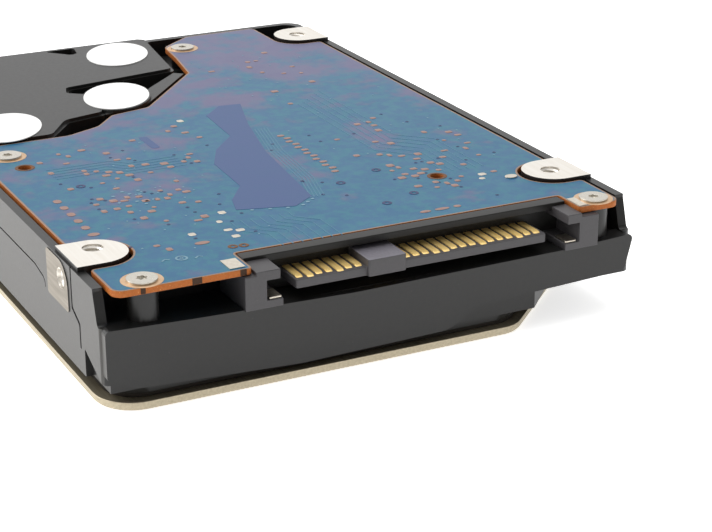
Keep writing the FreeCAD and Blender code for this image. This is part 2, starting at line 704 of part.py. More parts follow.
def connector():
    """The twin-port serial plug: ears, back wall, tongue, centre block and gold contacts."""
    wall = box((PLUG_RIGHT - PLUG_LEFT, WALL_BACK - WALL_FRONT, PLUG_HIGH - PLUG_LOW),
               (PLUG_LEFT, WALL_FRONT, PLUG_LOW))
    lip = box((43.1, 1.9, 14.65 - PLUG_HIGH), (-16.5, -46.4, PLUG_HIGH))
    tongue = prism([(-11.35, WALL_FRONT), (-11.35, -49.55, 0.3), (22.05, -49.55, 0.3), (22.05, WALL_FRONT)],
                   SIZES["tongue_low"], SIZES["tongue_top"] - SIZES["tongue_low"])
    block = prism([(BLOCK_LEFT, WALL_FRONT), (BLOCK_LEFT, EAR_FRONT, 0.3), (BLOCK_RIGHT, EAR_FRONT, 0.3),
                   (BLOCK_RIGHT, WALL_FRONT)], SIZES["tongue_low"], 2.1)
    pieces = [wall, lip, tongue, block] + ear(PLUG_LEFT, 1, 1.4) + ear(PLUG_RIGHT, -1, 2.4)
    node(fuse(*pieces), "connector_housing")

    node(group([contact(SIGNAL_START + SIZES["contact_pitch"] * i, i % 3 == 1) for i in range(7)]),
         "signal_contacts")
    node(group([contact(POWER_START + SIZES["contact_pitch"] * i, i in (3, 4, 8, 12)) for i in range(15)]),
         "power_contacts")
    second = [box((0.5, 2.9, 0.12), (BLOCK_LEFT + 0.25 + 0.66 * i, -49.7, SIZES["tongue_low"] - 0.12))
              for i in range(7)]
    node(group(second), "second_port_contacts")
    clips = [prism([(x, -49.9, 0.2), (x + 1.6, -49.9, 0.2), (x + 1.6, -47.4, 0.2), (x, -47.4, 0.2)], 10.6, 0.25)
             for x in (-14.9, 24.6)]
    node(group(clips), "connector_clips")


def contact(x, long_blade):
    """A contact blade that lies on the tongue; some reach further forward than others."""
    front = -49.35 if long_blade else -48.95
    half = SIZES["contact_width"] / 2
    return prism([(x - half, WALL_FRONT), (x - half, front, 0.2), (x + half, front, 0.2), (x + half, WALL_FRONT)],
                 SIZES["tongue_top"], 0.14)


# ---------------------------------------------------------------- the disc pack and its motor

def disc_pack():
    """Everything that turns with the discs, and the still parts of the motor inside it."""
    x, y = SPINDLE
    hub = fuse(ring("disc_bore_radius", "disc_bore_radius - 1.4", 7.5, (x, y, 1.9)),
               ring("disc_bore_radius", "shaft_radius", 1.3, (x, y, 1.9)),
               ring("spacer_radius + 0.4", "disc_bore_radius - 1.4", 1.0, (x, y, 8.4)))
    node(hub, "spindle_hub")
    node(fuse(cylinder("shaft_radius", 1.4, (x, y, 1.85)),
              cylinder("shaft_radius - running_gap", 8.0, (x, y, 3.2))), "spindle_shaft")
    node(ring("disc_bore_radius - 1.4", "disc_bore_radius - 2.5", 4.4, (x, y, 4.6)), "rotor_magnet")
    for i, name in enumerate(("lower_platter", "middle_platter", "upper_platter")):
        low = "disc_low + disc_pitch * %d" % i
        node(ring("disc_radius", "disc_bore_radius", "disc_thickness", (x, y, low)), name)
    spacers = [ring("spacer_radius", "disc_bore_radius", "disc_pitch - disc_thickness",
                    (x, y, "disc_low + disc_thickness + disc_pitch * %d" % i)) for i in range(2)]
    node(group(spacers), "disc_spacers")
    clamp = ring("spacer_radius", 3.0, 0.4, (x, y, 1.5))
    rim = ring("spacer_radius", "disc_bore_radius", 0.75, (x, y, 1.85))
    bolts = []
    holes = []
    for i in range(6):
        angle = math.radians(60 * i)
        spot = (x + 6.0 * math.cos(angle), y + 6.0 * math.sin(angle))
        holes.append(cylinder(0.6, 0.7, (spot[0], spot[1], 1.3)))
        bolts.append(fuse(cylinder(1.0, 0.15, (spot[0], spot[1], 1.35)), cylinder(0.6, 0.4, (spot[0], spot[1], 1.5))))
    node(cut(fuse(clamp, rim), *holes), "disc_clamp")
    node(group(bolts), "clamp_screws")

    node(ring("sleeve_radius", "shaft_radius", 7.4, (x, y, 4.2)), "bearing_sleeve")
    node(cylinder("sleeve_radius", 0.2, (x, y, 11.6)), "bearing_end_cap")
    teeth = [ring(7.1, 6.4, 2.0, (x, y, 5.8)), ring(5.0, "motor_post_radius", 2.0, (x, y, 5.8))]
    coils = []
    for i in range(9):
        turn = Rotation(Vector(0, 0, 1), 40 * i)
        teeth.append(turned_block((1.9, 0.9, 2.0), (4.8, -0.45, 5.8), turn))
        winding = turned_block((1.2, 1.7, 3.0), (5.1, -0.85, 5.3), turn)
        core = turned_block((1.4, 0.9, 2.0), (5.0, -0.45, 5.8), turn)
        coils.append(cut(winding, core))
    gaps = [turned_block((1.2, 0.5, 2.4), (6.2, -0.25, 5.6), Rotation(Vector(0, 0, 1), 40 * i + 20))
            for i in range(9)]
    node(cut(fuse(*teeth), *gaps), "stator_core")
    node(group(coils), "stator_coils")


def turned_block(size, corner, turn):
    """A block beside the spindle, turned about the spindle's axis."""
    made = box(size, corner)
    spot = turn.multVec(Vector(*corner))
    made.Placement = FreeCAD.Placement(spot + Vector(SPINDLE[0], SPINDLE[1], 0), turn)
    return made


# ---------------------------------------------------------------- the head actuator

ARM_LEVELS = [1.35, 3.85, 6.35, 8.85]
RAMP_SCREW = (30.6, -14.4)


def actuator():
    """The arm block with its heads and coil, parked with the heads beside the discs."""
    park = SIZES["park_angle"]
    thick = SIZES["arm_thickness"]
    arms = []
    for low in ARM_LEVELS:
        corners = [about_pivot(park, 3.5, -5.0), about_pivot(park, 21.0, -2.0), about_pivot(park, 21.0, 2.0),
                   about_pivot(park, 3.5, 5.0)]
        radii = (0.8, 0.8, 0.8, 0.8)
        arm = prism([corner + (radius,) for corner, radius in zip(corners, radii)], low, thick)
        window = prism([about_pivot(park, 9.5, -1.6) + (0.6,), about_pivot(park, 15.5, -0.7) + (0.4,),
                        about_pivot(park, 15.5, 0.7) + (0.4,), about_pivot(park, 9.5, 1.6) + (0.6,)], low, thick)
        arms.append(cut(arm, window))
    barrel = cylinder("arm_hub_radius", 8.3, (PIVOT[0], PIVOT[1], "arm_low"))
    bore = cylinder("pivot_sleeve_radius", 8.3, (PIVOT[0], PIVOT[1], "arm_low"))
    node(cut(fuse(barrel, *arms), bore), "arm_block")
    node(ring("pivot_sleeve_radius", "pivot_shaft_radius + running_gap", 8.3, (PIVOT[0], PIVOT[1], "arm_low")),
         "pivot_bearing")

    suspensions = []
    sliders = []
    for index, low in enumerate(ARM_LEVELS):
        faces = []
        if index < 3:
            faces.append((low + thick, 0.08, 0.27))
        if index > 0:
            faces.append((low - 0.08, 0.08, -0.27))
        for face_low, sheet, slider in faces:
            blade = prism([about_pivot(park, 16.5, -1.7) + (0.3,), about_pivot(park, 22.0, -1.6) + (0.5,),
                           about_pivot(park, 33.9, -0.5) + (0.2,), about_pivot(park, 34.3, -0.25) + (0.1,),
                           about_pivot(park, SIZES["tab_reach"], -0.25) + (0.1,),
                           about_pivot(park, SIZES["tab_reach"], 0.25) + (0.1,),
                           about_pivot(park, 34.3, 0.25) + (0.1,), about_pivot(park, 33.9, 0.5) + (0.2,),
                           about_pivot(park, 22.0, 1.6) + (0.5,), about_pivot(park, 16.5, 1.7) + (0.3,)],
                          face_low, sheet)
            suspensions.append(blade)
            slider_low = face_low + sheet if slider > 0 else face_low + slider
            reach = SIZES["head_reach"]
            sliders.append(prism([about_pivot(park, reach - 0.45, -0.35), about_pivot(park, reach + 0.45, -0.35),
                                  about_pivot(park, reach + 0.45, 0.35), about_pivot(park, reach - 0.45, 0.35)],
                                 slider_low, 0.27))
    node(group(suspensions), "suspensions")
    node(group(sliders), "head_sliders")

    tail = park + 180
    frame = prism([about_pivot(tail, 4.6, -4.6) + (1.0,), about_pivot(tail, 9.0, -4.2) + (1.0,),
                   about_pivot(tail, 19.2, -7.6) + (1.5,), about_pivot(tail, 19.2, 7.6) + (1.5,),
                   about_pivot(tail, 9.0, 4.2) + (1.0,), about_pivot(tail, 4.6, 4.6) + (1.0,)],
                  SIZES["coil_low"], SIZES["coil_thickness"])
    coil_shape = [about_pivot(tail, 8.6, -2.6) + (1.0,), about_pivot(tail, 18.2, -6.2) + (1.8,),
                  about_pivot(tail, 18.2, 6.2) + (1.8,), about_pivot(tail, 8.6, 2.6) + (1.0,)]
    window_shape = [about_pivot(tail, 11.0, -0.9) + (0.6,), about_pivot(tail, 15.9, -2.8) + (0.8,),
                    about_pivot(tail, 15.9, 2.8) + (0.8,), about_pivot(tail, 11.0, 0.9) + (0.6,)]
    low, high = SIZES["coil_low"], SIZES["coil_thickness"]
    seat = prism(coil_shape, low, high)
    barrel_space = cylinder("arm_hub_radius", 8.3, (PIVOT[0], PIVOT[1], "arm_low"))
    node(cut(frame, seat, barrel_space), "coil_frame")
    node(cut(prism(coil_shape, low, high), prism(window_shape, low, high)), "voice_coil")

    reach = SIZES["arm_hub_radius"] + 0.1
    chip = box((3.0, 0.8, 2.4), (PIVOT[0] - 1.5, PIVOT[1] - reach - 0.8, 5.0))
    pad_under = box((3.6, 1.2, 3.2), (PIVOT[0] - 1.8, PIVOT[1] - reach, 4.6))
    barrel = cylinder("arm_hub_radius", 8.3, (PIVOT[0], PIVOT[1], "arm_low"))
    node(fuse(chip, cut(pad_under, barrel)), "preamplifier_chip")


def flex_cable():
    """The printed cable that carries the head signals, one thin ribbon standing on edge."""
    thickness = 0.15
    bracket_face = -33.0
    chip_face = PIVOT[1] - SIZES["arm_hub_radius"] - 0.9

    def line(low_side):
        shift = -thickness if low_side else 0.0
        bracket_y = bracket_face + thickness + shift
        chip_y = chip_face + shift
        bend = Part.BezierCurve()
        bend.setPoles([Vector(3.0, bracket_y, 0), Vector(-1.0, bracket_y, 0), Vector(-2.6, chip_y, 0),
                       Vector(-6.4, chip_y, 0)])
        straight = Part.LineSegment(Vector(20.0, bracket_y, 0), Vector(3.0, bracket_y, 0))
        landing = Part.LineSegment(Vector(-6.4, chip_y, 0), Vector(-9.3, chip_y, 0))
        return straight, bend, landing

    upper = line(False)
    lower = line(True)
    ends = [Part.LineSegment(upper[0].StartPoint, lower[0].StartPoint),
            Part.LineSegment(upper[2].EndPoint, lower[2].EndPoint)]
    edges = [curve.toShape() for curve in upper + lower + tuple(ends)]
    face = Part.Face(Part.Wire(Part.__sortEdges__(edges)))
    face.translate(Vector(0, 0, 4.4))
    ribbon = DOCUMENT.addObject("Part::Feature", "ribbon")
    ribbon.Shape = face.extrude(Vector(0, 0, 3.6))
    node(ribbon, "flex_cable")


def actuator_stage():
    """What holds, drives and stops the actuator: shaft, yokes, magnets, posts, ramp and latch."""
    x, y = PIVOT
    shaft = cylinder("pivot_shaft_radius", 9.3, (x, y, 1.3))
    thread = cylinder("screw_shank_radius", 4.2, (x, y, 1.2))
    node(cut(shaft, thread), "pivot_shaft")

    plate_outline = sector(PIVOT, 7.6, 20.6, 182.0, 259.0, 0.6)
    magnet_outline = sector(PIVOT, 9.2, 19.4, 188.0, 253.0, 0.6)
    lower = SIZES["lower_yoke_low"]
    upper = SIZES["upper_yoke_low"]
    yoke = SIZES["yoke_thickness"]
    magnet = SIZES["magnet_thickness"]
    posts = [about_pivot(184.0, 22.4), about_pivot(268.0, 20.5)]
    for label, low in (("lower_yoke", lower), ("upper_yoke", upper)):
        lugs = [cylinder(1.9, "yoke_thickness", (px, py, low)) for px, py in posts]
        near_arm = prism([about_pivot(184.0, 18.0, -1.6), about_pivot(184.0, 22.4, -1.6),
                          about_pivot(184.0, 22.4, 1.6), about_pivot(184.0, 18.0, 1.6)], low, yoke)
        far_arm = prism([about_pivot(254.0, 17.4), about_pivot(254.0, 20.3), about_pivot(268.0, 22.2),
                         about_pivot(268.0, 18.8)], low, yoke)
        holes = [cylinder("screw_shank_radius", "yoke_thickness", (px, py, low)) for px, py in posts]
        node(cut(fuse(prism(plate_outline, low, yoke), near_arm, far_arm, *lugs), *holes), label)
    node(prism(magnet_outline, lower + yoke, magnet), "lower_magnet")
    node(prism(magnet_outline, upper - magnet, magnet), "upper_magnet")
    spacer_low = lower + yoke
    node(group([cylinder(1.5, upper - spacer_low, (px, py, spacer_low)) for px, py in posts]), "yoke_posts")
    screws = [cut(cylinder(1.4, 0.3, (px, py, lower - 0.3)), prism(lobes(px, py, 0.6, 0.4), lower - 0.4, 0.25))
              for px, py in posts]
    screws.append(fuse(cylinder(1.5, 0.5, (RAMP_SCREW[0], RAMP_SCREW[1], 8.9)),
                       cylinder("screw_shank_radius", 1.2, (RAMP_SCREW[0], RAMP_SCREW[1], 9.4))))
    node(group(screws), "stage_screws")

    stops = [about_pivot(169.0, 14.6), about_pivot(270.0, 14.6)]
    node(group([cylinder(1.2, 6.4, (px, py, 4.2)) for px, py in stops]), "crash_stops")

    ramp()
    latch()

    bracket = fuse(box((12.5, 1.0, 6.2), (9.0, -34.0, 4.4)), box((11.0, 5.0, 0.9), (10.0, -38.0, 9.7)))
    node(bracket, "flex_bracket")
    feed = fuse(prism([(11.1, -37.4, 0.5), (20.9, -37.4, 0.5), (20.9, -33.6, 0.5), (11.1, -33.6, 0.5)], 10.6, 1.2),
                box((8.0, 2.0, 2.0), (12.0, -36.5, 11.8)))
    node(feed, "feed_through_connector")


def ramp():
    """The comb beside the discs that the lift tabs ride up on."""
    disc_space = cylinder(32.95, 12.0, (SPINDLE[0], SPINDLE[1], 0.0))
    spine = prism(sector(PIVOT, 37.5, 40.2, 18.0, 26.5), 1.6, 9.0)
    fins = [prism(sector(PIVOT, 34.6, 38.0, 18.0, 27.5), SIZES["disc_low"] - 0.27 + SIZES["disc_pitch"] * i, 1.34)
            for i in range(3)]
    foot = prism([(28.6, -16.6, 0.8), (32.6, -16.6, 0.8), (32.6, -8.0, 0.8), (27.8, -9.6, 0.8)], 9.4, 1.2)
    screw_hole = cylinder("screw_shank_radius", 1.2, (RAMP_SCREW[0], RAMP_SCREW[1], 9.4))
    node(cut(fuse(spine, foot, *fins), disc_space, screw_hole), "load_ramp")


def latch():
    """The inertia latch: a small lever on its own pin beside the coil frame."""
    pin_x, pin_y = -24.2, -44.4
    arm = prism([(pin_x - 1.6, pin_y - 1.4, 0.8), (pin_x + 2.0, pin_y - 1.5, 0.8), (pin_x + 8.0, pin_y - 0.9, 0.4),
                 (pin_x + 8.4, pin_y + 0.3, 0.4), (pin_x + 2.0, pin_y + 1.3, 0.8), (pin_x - 1.6, pin_y + 1.4, 0.8)],
                5.0, 1.6)
    boss = cylinder(1.9, 1.6, (pin_x, pin_y, 5.0))
    bore = cylinder("screw_shank_radius + running_gap", 1.6, (pin_x, pin_y, 5.0))
    node(cut(fuse(arm, boss), bore), "inertia_latch")
    node(fuse(cylinder("screw_shank_radius", 4.4, (pin_x, pin_y, 3.8)), cylinder(1.4, 0.4, (pin_x, pin_y, 3.8))),
         "latch_pin")


def export():
    """Check every object, then write each sub-part to its own file."""
    DOCUMENT.recompute()
    for item in DOCUMENT.Objects:
        if "Invalid" in item.State or "Error" in item.State:
            raise RuntimeError("%s (%s) failed: %s" % (item.Name, item.Label, item.State))
    os.makedirs("parts", exist_ok=True)
    for item in NODES:
        shape = item.Shape
        if shape.isNull() or not shape.isValid() or not shape.Solids:
            raise RuntimeError("%s has no sound shape" % item.Label)
        shape.exportStep("parts/%s.step" % item.Label)


casing()
port_seals()
circuit_board()
board_underside()
connector()
disc_pack()
actuator()
flex_cable()
actuator_stage()
export()
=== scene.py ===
"""A 2.5-inch hard disk drive, lying on its cover with the circuit board on top.

Frame: metres, X across the drive, +Y away from the connector, +Z up out of the board side. Sizes in
the classes are millimetres in that frame.
"""

import logging
import math
import random
from dataclasses import dataclass, field
from enum import Enum
from typing import Callable, Optional, Sequence

import bmesh
import bpy
from mathutils import Matrix, Vector


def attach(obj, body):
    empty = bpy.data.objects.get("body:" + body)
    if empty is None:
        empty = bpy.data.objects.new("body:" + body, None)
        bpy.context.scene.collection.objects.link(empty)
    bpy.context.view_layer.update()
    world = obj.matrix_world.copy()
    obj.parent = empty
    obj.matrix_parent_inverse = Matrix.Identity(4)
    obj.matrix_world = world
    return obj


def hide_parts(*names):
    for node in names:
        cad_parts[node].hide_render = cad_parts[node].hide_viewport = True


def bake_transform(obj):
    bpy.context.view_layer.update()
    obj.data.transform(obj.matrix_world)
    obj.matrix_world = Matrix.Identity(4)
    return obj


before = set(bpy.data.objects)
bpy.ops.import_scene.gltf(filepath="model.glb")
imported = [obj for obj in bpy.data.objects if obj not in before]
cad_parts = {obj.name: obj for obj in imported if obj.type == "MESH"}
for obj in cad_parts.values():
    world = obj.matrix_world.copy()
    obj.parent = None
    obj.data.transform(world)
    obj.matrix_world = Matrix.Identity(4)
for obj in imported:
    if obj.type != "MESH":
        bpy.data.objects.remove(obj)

LOG = logging.getLogger("hard_disk_drive")
MM = 0.001
# Edges that turn less than this are shaded smooth, and sharper ones are broken by a bevel.
SHARP_TURN = math.radians(32)
# How near a face has to lie to a named height or radius to count as part of it, in millimetres.
SKIN = 0.05
Point = tuple[float, float]


# ---------------------------------------------------------------- finishes

# A wave texture of scale 1 repeats every tau / 20 of its unit, so this turns 1 / grain into its scale.
WAVE_PERIOD = math.tau / 20
# Brushed and milled lines are drawn this much denser across than along Y.
BRUSH_STRETCH = 0.06


class Pattern(Enum):
    """How a surface was made, which sets the pattern its finish shows."""

    GRAIN = "grain"
    BRUSHED = "brushed"
    TURNED = "turned"
    WOUND = "wound"
    WOVEN = "woven"


def linear(colour: str) -> tuple[float, float, float, float]:
    """Turns an sRGB hex colour to linear.

    Args:
        colour: Six hex digits, such as "a0b0c0".

    Returns:
        Red, green, blue and alpha, linear.
    """
    channels = [int(colour[i:i + 2], 16) / 255 for i in (0, 2, 4)]
    straight = [c / 12.92 if c <= 0.04045 else ((c + 0.055) / 1.055) ** 2.4 for c in channels]
    return (*straight, 1.0)


def add_node(tree: bpy.types.NodeTree, kind: str, inputs: Optional[dict] = None,
             **settings: object) -> bpy.types.Node:
    """Adds a shader node with its settings and links.

    Args:
        tree: The node tree it goes into.
        kind: The node's type.
        inputs: Socket name or index to a value, or to the socket that feeds it.
        **settings: The node's own properties.

    Returns:
        The new node.
    """
    made = tree.nodes.new(kind)
    for name, value in settings.items():
        setattr(made, name, value)
    for socket, value in (inputs or {}).items():
        if isinstance(value, bpy.types.NodeSocket):
            tree.links.new(value, made.inputs[socket])
        else:
            made.inputs[socket].default_value = value
    return made


@dataclass(frozen=True)
class Finish:
    """A real material and how its surface was made.

    The pattern drifts between colour and shade, moves the roughness over its range and lifts the
    surface by bump_mm. Flecks are small spots of another colour, such as wear, dust or glass fibre.
    The gloss is the specular level of a surface that isn't metal, and glow is light of its own.
    """

    name: str
    colour: str
    shade: str
    metallic: float = 0.0
    roughness: Point = (0.40, 0.50)
    pattern: Pattern = Pattern.GRAIN
    grain_mm: float = 0.5
    bump_mm: float = 0.004
    gloss: float = 0.5
    glow: float = 0.0
    centre_mm: Point = (0.0, 0.0)
    fleck: str = ""
    fleck_mm: float = 0.4
    fleck_share: float = 0.3

    def material(self) -> bpy.types.Material:
        """The finish as a Blender material, made once."""
        known = bpy.data.materials.get(self.name)
        if known is not None:
            return known
        made = bpy.data.materials.new(self.name)
        made.use_nodes = True
        tree = made.node_tree
        tree.nodes.clear()
        place = add_node(tree, "ShaderNodeTexCoord").outputs["Object"]
        height = self.height(tree, place)
        colour = self.tint(tree, place, height)
        roughness = add_node(tree, "ShaderNodeMapRange", {
            "Value": height, "To Min": self.roughness[0], "To Max": self.roughness[1]})
        lift = add_node(tree, "ShaderNodeBump", {
            "Strength": 0.6, "Distance": self.bump_mm * MM, "Height": height})
        sockets = {"Base Color": colour, "Roughness": roughness.outputs["Result"],
                   "Normal": lift.outputs["Normal"], "Metallic": self.metallic}
        if not self.metallic:
            sockets["Specular IOR Level"] = self.gloss
        if self.glow:
            sockets["Emission Color"] = linear(self.colour)
            sockets["Emission Strength"] = self.glow
        shader = add_node(tree, "ShaderNodeBsdfPrincipled", sockets)
        add_node(tree, "ShaderNodeOutputMaterial", {"Surface": shader.outputs["BSDF"]})
        return made

    def height(self, tree: bpy.types.NodeTree, place: bpy.types.NodeSocket) -> bpy.types.NodeSocket:
        """The pattern as a height from 0 to 1.

        Args:
            tree: The material's node tree.
            place: Where a point of the surface is, in metres.

        Returns:
            The socket that carries the height.
        """
        scale = 1 / (self.grain_mm * MM)
        shift = (-self.centre_mm[0] * MM, -self.centre_mm[1] * MM, 0.0)
        if self.pattern is Pattern.GRAIN:
            return add_node(tree, "ShaderNodeTexNoise", {
                "Vector": place, "Scale": scale, "Detail": 4.0, "Roughness": 0.6}).outputs["Fac"]
        if self.pattern is Pattern.BRUSHED:
            lay = add_node(tree, "ShaderNodeMapping", {"Vector": place, "Scale": (1.0, BRUSH_STRETCH, 1.0)})
            return add_node(tree, "ShaderNodeTexNoise", {
                "Vector": lay.outputs["Vector"], "Scale": scale, "Detail": 3.0}).outputs["Fac"]
        if self.pattern is Pattern.WOVEN:
            threads = [add_node(tree, "ShaderNodeTexWave", {
                "Vector": place, "Scale": scale * WAVE_PERIOD, "Distortion": 0.6, "Detail": 1.0},
                wave_type="BANDS", bands_direction=axis).outputs["Fac"] for axis in "XY"]
            return add_node(tree, "ShaderNodeMath", {0: threads[0], 1: threads[1]},
                            operation="MULTIPLY").outputs[0]
        lay = add_node(tree, "ShaderNodeMapping", {"Vector": place, "Location": shift})
        rings = add_node(tree, "ShaderNodeTexWave", {
            "Vector": lay.outputs["Vector"], "Scale": scale * WAVE_PERIOD, "Distortion": 0.4, "Detail": 2.0},
            wave_type="RINGS", rings_direction="Z")
        return rings.outputs["Fac"]

    def tint(self, tree: bpy.types.NodeTree, place: bpy.types.NodeSocket,
             height: bpy.types.NodeSocket) -> bpy.types.NodeSocket:
        """The colour, drifting with the pattern, with its flecks.

        Args:
            tree: The material's node tree.
            place: Where a point of the surface is, in metres.
            height: The pattern's height.

        Returns:
            The socket that carries the colour.
        """
        share = add_node(tree, "ShaderNodeMapRange", {
            "Value": height, "From Min": 0.2, "From Max": 0.8})
        drift = add_node(tree, "ShaderNodeMix", {
            0: share.outputs["Result"], 6: linear(self.colour), 7: linear(self.shade)}, data_type="RGBA")
        if not self.fleck:
            return drift.outputs[2]
        spots = add_node(tree, "ShaderNodeTexNoise", {
            "Vector": place, "Scale": 1 / (self.fleck_mm * MM), "Detail": 2.0})
        edge = 0.78 - 0.3 * self.fleck_share
        kept = add_node(tree, "ShaderNodeMapRange", {
            "Value": spots.outputs["Fac"], "From Min": edge, "From Max": edge + 0.06})
        return add_node(tree, "ShaderNodeMix", {
            0: kept.outputs["Result"], 6: drift.outputs[2], 7: linear(self.fleck)},
            data_type="RGBA").outputs[2]


@dataclass(frozen=True)
class SolderMask(Finish):
    """Blue screen-printed solder mask over copper, glossy enough to lift the colour of what is beneath.

    Where copper lies under it the blue turns mauve, more so towards the rear right of the board, and
    a finer mottle stands for the glass weave and the routing that show through.
    """

    copper: str = "665f80"
    glint: str = "277182"
    patch_mm: float = 10.0
    mottle_mm: float = 1.6

    def tint(self, tree: bpy.types.NodeTree, place: bpy.types.NodeSocket,
             height: bpy.types.NodeSocket) -> bpy.types.NodeSocket:
        """The mask's colour: blue with teal mottle and mauve patches of copper.

        Args:
            tree: The material's node tree.
            place: Where a point of the surface is, in metres.
            height: The pattern's height.

        Returns:
            The socket that carries the colour.
        """
        base = super().tint(tree, place, height)
        mottle = add_node(tree, "ShaderNodeTexNoise", {
            "Vector": place, "Scale": 1 / (self.mottle_mm * MM), "Detail": 3.0, "Roughness": 0.7})
        teal = add_node(tree, "ShaderNodeMapRange", {
            "Value": mottle.outputs["Fac"], "From Min": 0.42, "From Max": 0.64, "To Max": 0.75})
        blue = add_node(tree, "ShaderNodeMix", {
            0: teal.outputs["Result"], 6: base, 7: linear(self.glint)}, data_type="RGBA")
        patches = add_node(tree, "ShaderNodeTexNoise", {
            "Vector": place, "Scale": 1 / (self.patch_mm * MM), "Detail": 4.0, "Roughness": 0.65})
        axes = add_node(tree, "ShaderNodeSeparateXYZ", {"Vector": place})
        rear = add_node(tree, "ShaderNodeMapRange", {
            "Value": axes.outputs["Y"], "From Min": -0.030, "From Max": 0.030,
            "To Min": 0.0, "To Max": 0.22})
        lifted = add_node(tree, "ShaderNodeMath", {
            0: patches.outputs["Fac"], 1: rear.outputs["Result"]}, operation="ADD")
        share = add_node(tree, "ShaderNodeMapRange", {
            "Value": lifted.outputs[0], "From Min": 0.58, "From Max": 0.72, "To Max": 0.85})
        return add_node(tree, "ShaderNodeMix", {
            0: share.outputs["Result"], 6: blue.outputs[2], 7: linear(self.copper)},
            data_type="RGBA").outputs[2]


# Grains are real sizes in millimetres. Brushed, milled, turned and polished lines are really finer than
# 0.1 mm, so they are drawn at 0.2 to 0.6 mm, the finest that still shows.

# Die-cast aluminium with a black electrocoat: even, satin, with a fine orange peel and few rubbed specks.
CAST_COAT = Finish("electrocoated_die_casting", "181817", "201f1e", roughness=(0.30, 0.42), grain_mm=0.6,
                   bump_mm=0.006, gloss=0.42, fleck="33322f", fleck_mm=0.5, fleck_share=0.15)
# The same black coat painted greyer and flatter on the long sides, as painted sheen for the light these faces
# reflect.
CAST_SIDE_SHEEN = Finish("electrocoat_painted_sheen", "363431", "3e3c38", roughness=(0.36, 0.46), grain_mm=0.35,
                   bump_mm=0.005, gloss=0.6, fleck="6a6763", fleck_mm=0.3, fleck_share=0.2)
# Bare pads milled after coating: bright, with the cutter's parallel lines.
MILLED = Finish("milled_aluminium", "f3efe8", "e6e0d6", metallic=1.0, roughness=(0.32, 0.46),
                pattern=Pattern.BRUSHED, grain_mm=0.6, bump_mm=0.0015)
# The pads round the side holes, milled with a coarser cutter and scuffed by mounting rails.
MILLED_SIDE = Finish("scuffed_milled_pad", "989084", "7f786d", metallic=1.0, roughness=(0.38, 0.55),
                     pattern=Pattern.BRUSHED, grain_mm=0.4, bump_mm=0.006)
# Hub and spacers, turned from bar: bright aluminium with the tool's rings.
TURNED_ALUMINIUM = Finish("turned_aluminium", "c9c9c7", "b9b9b8", metallic=1.0, roughness=(0.24, 0.36),
                          pattern=Pattern.TURNED, grain_mm=0.4, bump_mm=0.003, centre_mm=(0.0, 15.4))
# Sputtered and polished discs: close to a mirror, with very faint polishing rings.
DISC_MIRROR = Finish("polished_disc", "c6c4c2", "c2c0be", metallic=1.0, roughness=(0.03, 0.06),
                     pattern=Pattern.TURNED, grain_mm=0.4, bump_mm=0.00005, centre_mm=(0.0, 15.4))
# Pressed steel cover, nickel flashed and lacquered: warm grey with a short brushed grain.
COVER_STEEL = Finish("lacquered_pressed_steel", "c6bba3", "a99e86", metallic=0.85, roughness=(0.36, 0.50),
                     pattern=Pattern.BRUSHED, grain_mm=0.3, bump_mm=0.003)
# Foamed rubber gasket: dull, dark, finely pitted.
GASKET = Finish("foamed_rubber", "1f1b17", "2a251f", roughness=(0.78, 0.9), grain_mm=0.25, bump_mm=0.02,
                gloss=0.25)
# Nickel plated steel screws, cold headed: bright with soft dents.
SCREW = Finish("nickel_plated_steel", "d8d3c8", "c2bcb0", metallic=1.0, roughness=(0.22, 0.36),
               grain_mm=0.35, bump_mm=0.006)
# Glass-filled liquid crystal polymer, moulded: grey, satin, with a faint flow grain.
CONNECTOR_PLASTIC = Finish("moulded_lcp", "403e40", "484648", roughness=(0.42, 0.55), grain_mm=0.35,
                           bump_mm=0.004, gloss=0.5, fleck="575456", fleck_mm=0.25, fleck_share=0.15)
# The same plastic in the slot behind the blades, painted black and smooth as painted shade for the little
# light that reaches it.
CONNECTOR_SHADE = Finish("lcp_painted_shade", "191817", "201f1d", roughness=(0.32, 0.42), grain_mm=0.8,
                          bump_mm=0.002, gloss=0.25)
# The same plastic painted pale on top of the block, as painted sheen for the light that face reflects.
CONNECTOR_SHEEN = Finish("lcp_painted_sheen", "76737b", "68656d", roughness=(0.42, 0.55), grain_mm=0.35,
                          bump_mm=0.004, gloss=0.5)
# Hard gold over nickel on the contact blades: warm, slightly rubbed along the blade.
GOLD = Finish("hard_gold_plating", "ffe39c", "f2c974", metallic=0.6, roughness=(0.40, 0.55),
              pattern=Pattern.BRUSHED, grain_mm=0.3, bump_mm=0.0008)
# Hot tinned solder lands: pale, smooth and a little lumpy.
TINNED = Finish("hot_tinned_solder", "e0d9cc", "c9bfae", metallic=1.0, roughness=(0.22, 0.40), grain_mm=0.5,
                bump_mm=0.02)
# Thin tin over copper round the board screws: the copper warms it.
WARM_TIN = Finish("tin_over_copper", "d9b996", "c9a27c", metallic=0.8, roughness=(0.30, 0.45), grain_mm=0.6,
                  bump_mm=0.01)
# Copper pads under thin organic coating: pink to orange, satin.
COATED_COPPER = Finish("coated_copper", "8f675a", "9a7c74", metallic=0.25, roughness=(0.35, 0.5),
                       grain_mm=0.5, bump_mm=0.008)
# The same copper with flux left on it: browner and duller.
BROWN_COPPER = Finish("fluxed_copper", "5c3a22", "7a5233", metallic=0.5, roughness=(0.45, 0.6), grain_mm=0.4,
                      bump_mm=0.008)
# Copper seen through the mask where it was left wide: mauve blue.
COPPER_POUR = Finish("masked_copper_pour", "2f4a7d", "38547f", roughness=(0.34, 0.44), grain_mm=3.0,
                     bump_mm=0.004, gloss=0.25)
# Narrow tracks under the mask: a shade lighter than the field.
MASKED_TRACK = Finish("masked_track", "3f7690", "396c86", roughness=(0.34, 0.44), grain_mm=0.8,
                      bump_mm=0.003, gloss=0.25)
